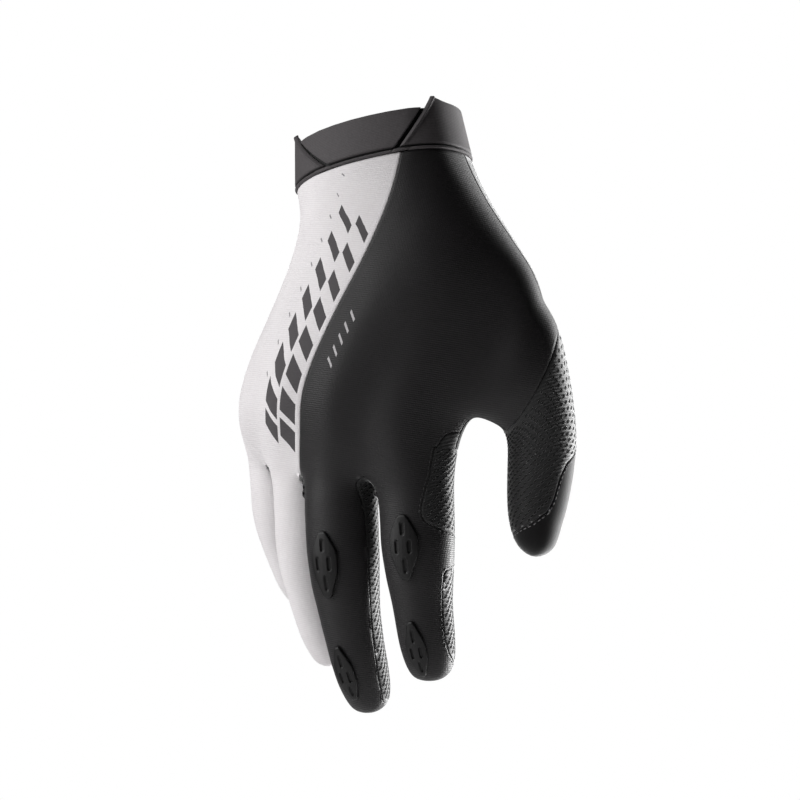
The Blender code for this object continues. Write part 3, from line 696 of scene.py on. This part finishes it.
# The cuff. Slants are degrees round the wrist at the seam and at the rim. channel, backShort and tipSpan are
# degrees, and the rest is metres. The rows below space its columns near an end and its levels near an edge
Slant = namedtuple("Slant", "seam rim")
thumbSlant, littleSlant = Slant(-61.0, -32.0), Slant(-105.8, -147.0)
cuff = {
    "backHeight": 0.0152, "tipRise": 0.0018, "tipSpan": 24.0, "wall": 0.0026, "backWall": 0.0020,
    "proud": 0.0008, "taper": 0.94, "channel": 2.4, "backShort": 0.9, "rounding": 0.0005,
    "bindingHeight": 0.0010, "grooveWidth": 0.0007, "grooveDepth": 0.0011,
    "bead": 0.0006, "beadAt": 0.00085, "beadWidth": 0.0016,
    "tongue": 0.0046, "tongueDown": 0.0013, "endWall": 0.0011, "thinned": 0.0040, "perDegree": 0.00057,
    "column": 0.0020, "level": 0.0013, "aboveSeam": 0.0001,
}
nearEnd = (0.0, 0.00008, 0.0002, 0.0004, 0.0006, 0.00085, 0.0011, 0.0014, 0.0017, 0.0021, 0.0028, 0.0040)
nearSeam = (*nearEnd[:5], 0.0008, 0.0010, 0.0012, 0.00135, 0.0015, 0.0017, 0.0020, 0.0027)
nearRim = (0.0014, 0.0009, *nearEnd[4::-1])
nearTongue = (-0.0012, -0.0005, -0.0001)


def wristCurve(skin):
    # The skin's edge at the cuff seam, as a function from degrees round the wrist to a point
    edge = [v.co.xy for v in skin.verts if v.is_boundary]
    half = Vector((max(p.x for p in edge), max(p.y for p in edge)))
    turns = sorted((math.degrees(math.atan2(p.y / half.y, p.x / half.x)), p.x, p.y) for p in edge)
    turns = [(t - 360, x, y) for t, x, y in turns] + turns + [(t + 360, x, y) for t, x, y in turns]
    angles, xs, ys = zip(*turns)
    return lambda degrees: Vector((np.interp(degrees, angles, xs), np.interp(degrees, angles, ys)))


def wrapHeight(degrees):
    # The wrap's rim is level and rises to a point at each slant
    fromEnd = min(abs(degrees - thumbSlant.rim), abs(degrees - littleSlant.rim - 360))
    rise = max(0.0, 1 - fromEnd / cuff["tipSpan"])
    return hand["cuffHeight"] + cuff["tipRise"] * rise * rise


def rounded(distance, radius):
    # How far a rounded edge has dropped, this far in from it
    left = max(0.0, radius - max(0.0, distance))
    return radius - math.sqrt(radius * radius - left * left)


def hump(x):
    return math.cos(x * math.pi / 2) ** 2 if abs(x) < 1 else 0.0


def slantScale(slant):
    # Metres square to a slanted end for each degree round the wrist
    run = abs(slant.rim - slant.seam) * cuff["perDegree"]
    return cuff["perDegree"] * math.cos(math.atan(run / hand["cuffHeight"]))


def cuffPiece(curve, start, end, heightAt, wall, bead, tongue):
    # A piece of the cuff between two slants. bead: height of its ends' ridge. tongue: reach under the other
    scales = slantScale(start), slantScale(end)
    full = hand["cuffHeight"] + cuff["tipRise"]
    distances = [-tongue, -tongue / 2, *nearTongue, *nearEnd] if tongue else list(nearEnd)
    margins = [distances[-1] / scale for scale in scales]
    middle = int(((end.seam - start.seam) - sum(margins)) * cuff["perDegree"] / cuff["column"])
    columns = [("start", d) for d in distances] + [("middle", (i + 1) / (middle + 1)) for i in range(middle)]
    columns += [("end", d) for d in reversed(distances)]

    def degreesAt(kind, value, first, last):
        if kind == "start":
            return first + value / scales[0]
        if kind == "end":
            return last - value / scales[1]
        return mix(first + margins[0], last - margins[1], value)

    piece = bmesh.new()
    # Per-vertex weight of the painted shade in the groove and the channels
    painted_groove_shade = piece.verts.layers.float.new("painted_groove_shade")
    loops = []
    for kind, value in columns:
        nearest = 1.0 if kind == "middle" else value
        outer, inner = [], []
        height = heightAt(degreesAt(kind, value, start.rim, end.rim))
        count = int((full - nearSeam[-1] - nearRim[0]) / cuff["level"])
        ups = list(nearSeam)
        ups += [mix(nearSeam[-1], height - nearRim[0], (i + 1) / (count + 1)) for i in range(count)]
        ups += [height - d for d in nearRim]
        for up in ups:
            ends = [mix(s.seam, s.rim, up / hand["cuffHeight"]) for s in (start, end)]
            down = sum(rounded(d, cuff["rounding"]) for d in (min(up, height - up), abs(nearest)))
            relief = bead * hump((nearest - cuff["beadAt"]) / (cuff["beadWidth"] / 2))
            above = up - cuff["bindingHeight"] - cuff["grooveWidth"] / 2
            relief *= smoothstep(above / cuff["grooveWidth"])
            relief -= cuff["grooveDepth"] * hump(above / cuff["grooveWidth"])
            if nearest < 0:
                relief, down = -cuff["tongueDown"] * smoothstep(above / cuff["grooveWidth"] + 0.5), down / 2
            base = curve(degreesAt(kind, value, *ends))
            taper = mix(1.0, cuff["taper"], up / hand["cuffHeight"])
            thickness = mix(wall if tongue else cuff["endWall"], wall, smoothstep(nearest / cuff["thinned"]))
            for out, column in ((cuff["proud"] + relief - down, outer), (cuff["proud"] - thickness, inner)):
                place = (base + base.normalized() * out) * taper
                column.append(piece.verts.new((*place, up - hand["cuffHeight"] + cuff["aboveSeam"])))
            # Painted shade: full on the tongue where it shows in a channel, and a soft band along the groove
            # above the binding
            outer[-1][painted_groove_shade] = 1.0 if nearest < 0 < above else hump(above / cuff["grooveWidth"])
        loops.append((outer, inner))
    rings = [outer + inner[::-1] for outer, inner in loops]
    around = len(rings[0])
    for a, b in zip(rings, rings[1:]):
        for i in range(around):
            piece.faces.new((a[i], b[i], b[(i + 1) % around], a[(i + 1) % around]))
    for ring in (rings[0], rings[-1]):
        for i in range(around // 2 - 1):
            piece.faces.new((ring[i], ring[i + 1], ring[-i - 2], ring[-i - 1]))
    bmesh.ops.recalc_face_normals(piece, faces=piece.faces)
    return asMesh("cuff", piece)


def moved(slant, degrees):
    return Slant(slant.seam + degrees, slant.rim + degrees)


def addCuff(skin):
    curve, half = wristCurve(skin), cuff["channel"] / 2
    start, end = moved(thumbSlant, half), moved(littleSlant, 360 - half)
    wrap = cuffPiece(curve, start, end, wrapHeight, cuff["wall"], cuff["bead"], 0.0)
    addPiece("cuff_wrap_elastic", wrap, "cuff_knit", "charcoal_elastic", ("cuff_wrap",))
    half += cuff["backShort"]
    start, end = moved(littleSlant, half), moved(thumbSlant, -half)
    back = cuffPiece(curve, start, end, lambda _: cuff["backHeight"], cuff["backWall"], 0.0, cuff["tongue"])
    addPiece("cuff_back_elastic", back, "cuff_knit", "charcoal_elastic", ("cuff_back",))


# The moulded pads: sizes in metres, the outline's corners and the slots' places as shares of width and length
pad = {
    "outline": ((0.14, 0.5), (0.5, 0.17), (0.5, -0.15), (0.16, -0.5)), "cornerCut": 0.24, "cornerSteps": 6,
    "slots": ((0.02, 0.27), (-0.20, -0.02), (0.23, -0.02), (0.05, -0.29)), "slotWidth": 0.0014,
    "slotShare": 0.21, "slotDepth": 0.00065, "slotEdge": 0.0003, "thickness": 0.0012, "sunk": 0.0003,
    "rounding": 0.00045, "dome": 0.00025, "around": 120, "rings": 34, "face": 0.985, "crowding": 0.92,
}
PadPlace = namedtuple("PadPlace", "name finger along width length turn")
padPlaces = [PadPlace(*row) for row in (
    ("knuckle_pad_index", index, 0.318, 0.0112, 0.0210, 0),
    ("knuckle_pad_middle", middle, 0.342, 0.0112, 0.0210, 0),
    ("fingertip_pad_index", index, 0.790, 0.0100, 0.0195, -5),
    ("fingertip_pad_middle", middle, 0.768, 0.0100, 0.0195, -5),
)]


def padOutline(width, length):
    # The outline's corners cut back and rounded, as evenly spaced points
    half = [Vector((x * width, y * length)) for x, y in pad["outline"]]
    corners = half + [Vector((-p.x, p.y)) for p in reversed(half)]
    points = []
    for i, corner in enumerate(corners):
        before, after = (mix(corner, corners[i + step], pad["cornerCut"]) for step in (-1, 1 - len(corners)))
        for share in np.linspace(0, 1, pad["cornerSteps"] + 1):
            points.append(mix(mix(before, corner, share), mix(corner, after, share), share))
    loop = points + points[:1]
    downs = walked(loop)
    at = np.arange(pad["around"]) / pad["around"] * downs[-1]
    return [Vector([np.interp(t, downs, side) for side in zip(*loop)]) for t in at]


def slotHeight(x, y, width, length):
    # Metres that the pad's face is sunk at a point, for the slots
    deepest = 0.0
    for sx, sy in pad["slots"]:
        half = (pad["slotShare"] * length - pad["slotWidth"]) / 2
        away = math.hypot(x - sx * width, max(0.0, abs(y - sy * length) - half)) - pad["slotWidth"] / 2
        deepest = max(deepest, pad["slotDepth"] * smoothstep(0.5 - away / pad["slotEdge"]))
    return deepest


def addPad(place, tree):
    line, turn = FingerLine(fingers[place.finger]), math.radians(place.turn)
    radius = fingers[place.finger].width * hand["fingerWidth"] / 2

    def laid(x, y, lift):
        across = x * math.cos(turn) + y * math.sin(turn)
        along = place.along + (x * math.sin(turn) - y * math.cos(turn)) / line.finger.length
        out = line.backAt(along) * math.cos(across / radius) + line.side * math.sin(across / radius)
        centre = handPlace @ line.point(along)
        out = (handPlace.to_3x3() @ out).normalized()
        return tree.ray_cast(centre + out * hand["fingerWidth"], -out)[0] + out * lift

    outline = padOutline(place.width, place.length)
    shares = [pad["face"] * (1 - (i / pad["rings"]) ** pad["crowding"]) for i in range(pad["rings"])]
    solid = bmesh.new()
    rings = [[solid.verts.new(laid(*p, -pad["sunk"])) for p in outline]]
    for share in (1.0, *shares, 0.0):
        inward = (1 - share) * place.width / 2
        rise = pad["thickness"] + pad["dome"] * (1 - share * share) - rounded(inward, pad["rounding"])
        points = [p * share for p in outline] if share else [Vector((0, 0))]
        lifts = [rise - slotHeight(*p, place.width, place.length) for p in points]
        rings.append([solid.verts.new(laid(*p, lift)) for p, lift in zip(points, lifts)])
    top, bottom = rings.pop()[0], solid.verts.new(laid(0, 0, -pad["sunk"]))
    for low, high in zip(rings, rings[1:]):
        for i in range(pad["around"]):
            after = (i + 1) % pad["around"]
            solid.faces.new((low[i], low[after], high[after], high[i]))
    for ring, centre in ((rings[-1], top), (rings[0][::-1], bottom)):
        for i in range(pad["around"]):
            solid.faces.new((ring[i], ring[(i + 1) % pad["around"]], centre))
    bmesh.ops.recalc_face_normals(solid, faces=solid.faces)
    addPiece(place.name + "_rubber", asMesh(place.name, solid), "pad_rubber", "black_tpr", (place.name,))


# Perforations: metres, and degrees of the rows' slope and of each hole. keep: metres kept clear of the seams
holes = {
    "length": 0.00150, "width": 0.00078, "pitch": 0.00260, "row": 0.00160, "slope": 15.0, "tilt": 34.0,
    "keep": 0.0013, "lift": 0.00004, "lip": 0.00006,
    "cloth": "perforated_warp_knit", "shade": "shade_in_holes",
}
# Stitches, in metres. inset: how far they lie from the seam. reach: how far along it their direction is read
stitches = {"length": 0.0013, "width": 0.00034, "height": 0.000272, "lift": 0.000051, "spacing": 0.0019,
            "inset": 0.0008, "reach": 0.0008}
# Each seam's stitches: the thread, the panel that they lie on, the panel beside it and the slot
stitchedSeams = {
    "thumb_tip_stitches": ("grey_thread", "thumb_palm", "thumb_shell", "suede"),
    "gusset_stitches": ("black_thread", "back_black", "index_side", "black_knit"),
    "palm_stitches": ("black_thread", "palm", "thumb_shell", "suede"),
}


def stretched(group, shape, size):
    scale = addNode(group, "ShaderNodeCombineXYZ", size)
    return addNode(group, "GeometryNodeTransform", {"Geometry": shape, "Scale": scale})


def holeShape(group, length, width):
    # Each hole: a floor disc of painted shade, and a lip of the knit round it
    floor = addNode(group, "GeometryNodeMeshCircle", {"Vertices": 10, "Radius": 0.5}, fill_type="NGON")
    rim = addNode(group, "GeometryNodeCurvePrimitiveCircle", {"Resolution": 10, "Radius": 0.5})
    floor, rim = (stretched(group, shape, (length, width, 1.0)) for shape in (floor, rim))
    profile = addNode(group, "GeometryNodeCurvePrimitiveCircle", {"Resolution": 4, "Radius": holes["lip"]})
    lip = addNode(group, "GeometryNodeCurveToMesh", {"Curve": rim, "Profile Curve": profile})
    lip = addNode(group, "GeometryNodeSetShadeSmooth", (lip,))
    joined = addNode(group, "GeometryNodeJoinGeometry")
    for shape, material in ((lip, holes["cloth"]), (floor, holes["shade"])):
        paint = {"Geometry": shape, "Material": materials[material]}
        group.links.new(addNode(group, "GeometryNodeSetMaterial", paint), joined.node.inputs[0])
    return joined


def stitchShape(thread):
    def build(group, length, width):
        ball = addNode(group, "GeometryNodeMeshUVSphere", {"Segments": 8, "Rings": 6, "Radius": 0.5})
        ball = stretched(group, ball, (length, width, stitches["height"]))
        ball = addNode(group, "GeometryNodeSetMaterial", {"Geometry": ball, "Material": materials[thread]})
        return addNode(group, "GeometryNodeSetShadeSmooth", (ball,))
    return build


def repeatGroup(name, buildShape):
    # Geometry nodes: the shape on every point, with its Z along the point's "out" and its X along "along"
    group = bpy.data.node_groups.new(name, "GeometryNodeTree")
    group.interface.new_socket("Points", in_out="INPUT", socket_type="NodeSocketGeometry")
    for key in ("Length", "Width"):
        group.interface.new_socket(key, in_out="INPUT", socket_type="NodeSocketFloat")
    group.interface.new_socket("Geometry", in_out="OUTPUT", socket_type="NodeSocketGeometry")
    given = addNode(group, "NodeGroupInput").node.outputs
    axes = [
        addNode(group, "GeometryNodeInputNamedAttribute", {"Name": key}, data_type="FLOAT_VECTOR")
        for key in ("out", "along")
    ]
    turned = addNode(group, "FunctionNodeAxesToRotation", axes, primary_axis="Z", secondary_axis="X")
    shape = buildShape(group, given["Length"], given["Width"])
    places = {"Points": given["Points"], "Instance": shape, "Rotation": turned}
    placed = addNode(group, "GeometryNodeInstanceOnPoints", places)
    addNode(group, "NodeGroupOutput", (addNode(group, "GeometryNodeRealizeInstances", (placed,)),))
    return group


def addRepeats(name, marks, group, sizes, slot):
    # One piece of many small shapes. marks: rows of place, out and along. sizes: holds the length and width
    if not marks:
        return
    mesh = bpy.data.meshes.new(name)
    mesh.from_pydata([m[0] for m in marks], [], [])
    for key, column in (("out", 1), ("along", 2)):
        values = np.array([m[column] for m in marks], dtype=np.float32).ravel()
        mesh.attributes.new(key, "FLOAT_VECTOR", "POINT").data.foreach_set("vector", values)
    holder = addObject(name + "_points", mesh)
    maker = holder.modifiers.new("repeats", "NODES")
    maker.node_group = group
    for socket in group.interface.items_tree:
        if socket.name.lower() in ("length", "width"):
            maker[socket.identifier] = sizes[socket.name.lower()]
    made = evaluatedMesh(holder)
    holder.modifiers.remove(maker)
    bpy.data.objects.remove(holder)
    addPiece(name, made, slot)
    print(name, len(marks))


def holeMarks(skin, panel):
    lay, charts = skin.loops.layers.uv["lay"], skin.faces.layers.int["chart"]
    number = panelNames.index(panel)
    faces = [f for f in skin.faces if f.material_index == number]
    rim = {e for f in faces for e in f.edges if any(g.material_index != number for g in e.link_faces)}
    rimPoints = [mix(e.verts[0].co, e.verts[1].co, share) for e in rim for share in (0.0, 0.33, 0.67)]
    near = KDTree(len(rimPoints))
    for i, point in enumerate(rimPoints):
        near.insert(point, i)
    near.balance()
    slope, tilt = math.tan(math.radians(holes["slope"])), math.radians(holes["tilt"])
    marks = []
    for face in faces:
        if face[charts] == palmChart:
            continue
        corners = [(loop.vert.co, loop.vert.normal, loop[lay].uv) for loop in face.loops]
        for a, b, c in zip([corners[0]] * (len(corners) - 2), corners[1:], corners[2:]):
            sides = Matrix((b[2] - a[2], c[2] - a[2])).transposed()
            if abs(sides.determinant()) < 1e-12:
                continue
            back = sides.inverted()
            us = [p[2].x for p in (a, b, c)]
            rows = [(p[2].y - slope * p[2].x) / holes["row"] for p in (a, b, c)]
            for row in range(math.ceil(min(rows)), math.floor(max(rows)) + 1):
                shift = 0.5 * (row % 2)
                first = math.ceil(min(us) / holes["pitch"] - shift)
                for column in range(first, math.floor(max(us) / holes["pitch"] - shift) + 1):
                    u = (column + shift) * holes["pitch"]
                    at = Vector((u, row * holes["row"] + slope * u))
                    s, t = back @ (at - a[2])
                    if s < 0 or t < 0 or s + t >= 1:
                        continue
                    place = a[0] * (1 - s - t) + b[0] * s + c[0] * t
                    out = (a[1] * (1 - s - t) + b[1] * s + c[1] * t).normalized()
                    if near.find(place)[2] < holes["keep"]:
                        continue
                    step = back @ Vector((math.cos(tilt), -math.sin(tilt)))
                    along = ((b[0] - a[0]) * step.x + (c[0] - a[0]) * step.y).normalized()
                    marks.append((place + out * holes["lift"], out, along))
    return marks


def stitchMarks(skin, tree, inside, outside):
    # Dashes along the seams between two panels, a little way in on the first of them
    marks, number = [], panelNames.index(inside)
    for chain in seamChains(skin, inside, outside):
        coords = np.array([v.co for v in chain])
        downs = walked(coords)
        line = lambda d: Vector([np.interp(d, downs, side) for side in coords.T])
        own = next(f for v in chain[1:-1] for f in v.link_faces if f.material_index == number)
        reference = own.calc_center_median()
        start = min(range(len(chain)), key=lambda i: (chain[i].co - reference).length)
        tangent = line(downs[start] + stitches["reach"]) - line(downs[start] - stitches["reach"])
        sign = math.copysign(1, tangent.cross(chain[start].normal).dot(reference - chain[start].co))
        spacing = stitches["spacing"]
        for d in np.arange(spacing * 0.7, downs[-1] - spacing * 0.5, spacing):
            place = line(d)
            along = (line(d + stitches["reach"]) - line(d - stitches["reach"])).normalized()
            out = tree.find_nearest(place)[1]
            place += along.cross(out).normalized() * sign * stitches["inset"]
            place, out = tree.find_nearest(place)[:2]
            marks.append((place + out * stitches["lift"], out, along))
    return marks


def measurePrint(mesh, edge, sign):
    # Stores how far each point of a panel is from the white edge and how far down it, in metres.
    points = np.array([v.co for v in edge])
    downs = walked(points)
    dense = np.linspace(0, downs[-1], 600)
    line = np.stack([np.interp(dense, downs, points[:, i]) for i in range(3)], 1)
    count = len(mesh.vertices)
    places = np.empty(count * 3)
    mesh.vertices.foreach_get("co", places)
    places = places.reshape(-1, 3)
    across, down = np.empty(count), np.empty(count)
    for i in range(0, count, 2000):
        far = np.linalg.norm(places[i:i + 2000, None] - line[None], axis=2)
        nearest = far.argmin(1)
        across[i:i + 2000], down[i:i + 2000] = far[np.arange(len(far)), nearest] * sign, dense[nearest]
    for name, values in (("printAcross", across), ("printDown", down)):
        mesh.attributes.new(name, "FLOAT", "POINT").data.foreach_set("value", values.astype(np.float32))


# How uneven the cloth lies: metres across each unevenness, and its height
unevenness = ((0.008, 0.00010), (0.025, 0.00025))


def buildSkin():
    skin = makeSkin()
    cells = {i + 1: math.pi * hand["fingerWidth"] * finger.width / 8 for i, finger in enumerate(fingers)}
    cells[thumbChart], cells[palmChart] = math.pi * hand["thumbWidth"] / 8, hand["width"] / 9
    height = borderHeight(thumbTipBorder, cells[thumbChart], hand["thumbLength"])
    recut(skin, thumbChart, ("thumb_shell", "thumb_palm"), height, "thumb_palm", "thumb_shell")
    chart, length = index + 1, fingers[index].length
    gusset, lowSide = (outlineHeight(o, cells[chart], length) for o in (gussetOutline, lowSideOutline))
    inside = lambda u, v: max(gusset(u, v), lowSide(u, v))
    recut(skin, chart, ("index_side", "back_black"), inside, "index_side", "back_black")
    for i, finger in enumerate(fingers):
        cell, cloth = cells[i + 1], "back_white" if i < middle else "back_black"
        turns, downs = np.array(sideReach).T * [[cell], [finger.length]]
        toThumb = lambda u, v: u - 2 * cell - np.interp(v, downs, turns) if u < 5 * cell else -1.0
        toLittle = lambda u, v: 8 * cell - np.interp(v, downs, turns) - u if u > 5 * cell else -1.0
        for height, wall in zip((toThumb, toLittle), (fourchettes[i:i + 1], fourchettes[i - 1:i])):
            if wall:
                recut(skin, i + 1, (*wall, cloth), height, *wall, cloth)
    topHeight = borderHeight(gussetTop, cells[palmChart], hand["palmLength"])
    inColumns = cells[palmChart] * 7.99
    onGusset = lambda u, v: topHeight(u, v) if u > inColumns else -1.0
    recut(skin, palmChart, ("back_black",), onGusset, "index_side", "back_black")
    skin.normal_update()
    rises = [(v, sum(noise.noise(v.co / size) * rise for size, rise in unevenness)) for v in skin.verts]
    for v, rise in rises:
        v.co += v.normal * rise
    skin.normal_update()
    return skin


skin = buildSkin()
print("skin:", len(skin.faces), "faces")

# Panels: cloth, metres thick and slot. The rest are of the perforated knit
panels = {
    "back_white": ("white_polyester_jersey", 0.0010, "white_knit"),
    "back_black": ("black_polyester_jersey", 0.0010, "black_knit"),
    "palm": ("black_microsuede", 0.0012, "suede"),
    "thumb_palm": ("black_microsuede", 0.0012, "suede"),
}
meshPanel = (holes["cloth"], 0.0010, "mesh")
whiteEdge = seamChains(skin, "back_white", "back_black")[0]
if whiteEdge[0].co.z < whiteEdge[-1].co.z:
    whiteEdge.reverse()
for name in panelNames:
    cloth, wall, slot = panels.get(name, meshPanel)
    panel = cutPanel(skin, name, wall)
    if name.startswith("back"):
        measurePrint(panel, whiteEdge, 1 if name == "back_white" else -1)
    addPiece(name + "_cloth", panel, slot, cloth, (name,))
print("panels cut")

tree = BVHTree.FromBMesh(skin)
addCuff(skin)
for place in padPlaces:
    addPad(place, tree)
print("cuff and pads made")

holeGroup = repeatGroup("holes", holeShape)
for name in panelNames:
    if name not in panels:
        addRepeats(name + "_holes", holeMarks(skin, name), holeGroup, holes, "mesh")
for name, (thread, inside, outside, slot) in stitchedSeams.items():
    group = repeatGroup(name, stitchShape(thread))
    addRepeats(name, stitchMarks(skin, tree, inside, outside), group, stitches, slot)

# The photograph's view: degrees round and above the glove, roll, metres to its aim, and millimetres of lens
view = {
    "azimuth": 28.07, "elevation": -10.74, "roll": -6.96, "distance": 0.7743, "lens": 100.19,
    "aim": (-0.0051, 0.0, -0.0983),
}


def addCamera():
    azimuth, elevation, roll = (math.radians(view[key]) for key in ("azimuth", "elevation", "roll"))
    side = Vector((math.cos(azimuth), math.sin(azimuth), 0))
    ahead = Vector((side.y, -side.x, 0))
    toward = ahead * math.cos(elevation) + Vector((0, 0, math.sin(elevation)))
    up = toward.cross(side)
    side, up = side * math.cos(roll) + up * math.sin(roll), up * math.cos(roll) - side * math.sin(roll)
    camera = addObject("camera", bpy.data.cameras.new("camera"))
    turn = Matrix((side, up, toward)).transposed()
    camera.matrix_world = Matrix.Translation(Vector(view["aim"]) + toward * view["distance"]) @ turn.to_4x4()
    camera.data.lens = view["lens"]
    bpy.context.scene.camera = camera
    return side, up, toward


def addLight(name, size, place, target, power):
    lamp = bpy.data.lights.new(name, "AREA")
    lamp.shape, lamp.energy = "RECTANGLE", power
    lamp.size, lamp.size_y = size
    made = addObject(name, lamp)
    made.location = place
    made.rotation_euler = (target - place).to_track_quat("-Z", "Y").to_euler()


side, up, toward = addCamera()
middleOfGlove = (Vector(cadBox[0]) + Vector(cadBox[1])) / 2
# Lights: size in metres, place as metres to the camera's right, up and towards it from the glove, and watts
lights = {
    "left": ((0.6, 1.2), (-1.2, 0.1, 0.4), 2.6),
    "left_high": ((0.7, 0.8), (-1.1, 0.8, 0.45), 10.5),
    "left_side": ((0.5, 1.0), (-1.3, 0.3, 0.0), 6),
    "rim_right": ((0.35, 1.2), (0.8, 0.15, -0.55), 11),
    "rim_right_low": ((0.3, 0.8), (0.8, -0.5, -0.54), 36),
}
for name, (size, at, power) in lights.items():
    addLight(name, size, middleOfGlove + side * at[0] + up * at[1] + toward * at[2], middleOfGlove, power)

# The camera sees a white background, which gives the glove only a faint light of its own
world = bpy.data.worlds.new("studio")
bpy.context.scene.world = world
world.use_nodes = True
studio = world.node_tree
studio.nodes.clear()
seen, soft = (addNode(studio, "ShaderNodeBackground", ((1, 1, 1, 1), strength)) for strength in (1.0, 0.015))
onCamera = addNode(studio, "ShaderNodeLightPath", out="Is Camera Ray")
addNode(studio, "ShaderNodeOutputWorld", (addNode(studio, "ShaderNodeMixShader", (onCamera, soft, seen)),))
bpy.context.scene.view_settings.view_transform = "Standard"

# The floor adds a pale tone that only the camera sees, so it stays pale where the lights don't reach
floorLook = {"radius": 2.0, "down": 0.6, "tone": "E6E5E5"}
disc = bmesh.new()
bmesh.ops.create_circle(disc, cap_ends=True, radius=floorLook["radius"], segments=96)
floor = addObject("floor", asMesh("floor", disc))
floor.location.z = -floorLook["down"]
floor.data.materials.append(materials["painted_floor"])
floorTree = materials["painted_floor"].node_tree
floorShader = floorTree.nodes["Principled BSDF"]
floorShader.inputs["Emission Color"].default_value = linear(floorLook["tone"])
onCamera = addNode(floorTree, "ShaderNodeLightPath", out="Is Camera Ray")
floorTree.links.new(onCamera, floorShader.inputs["Emission Strength"])
print("studio set")
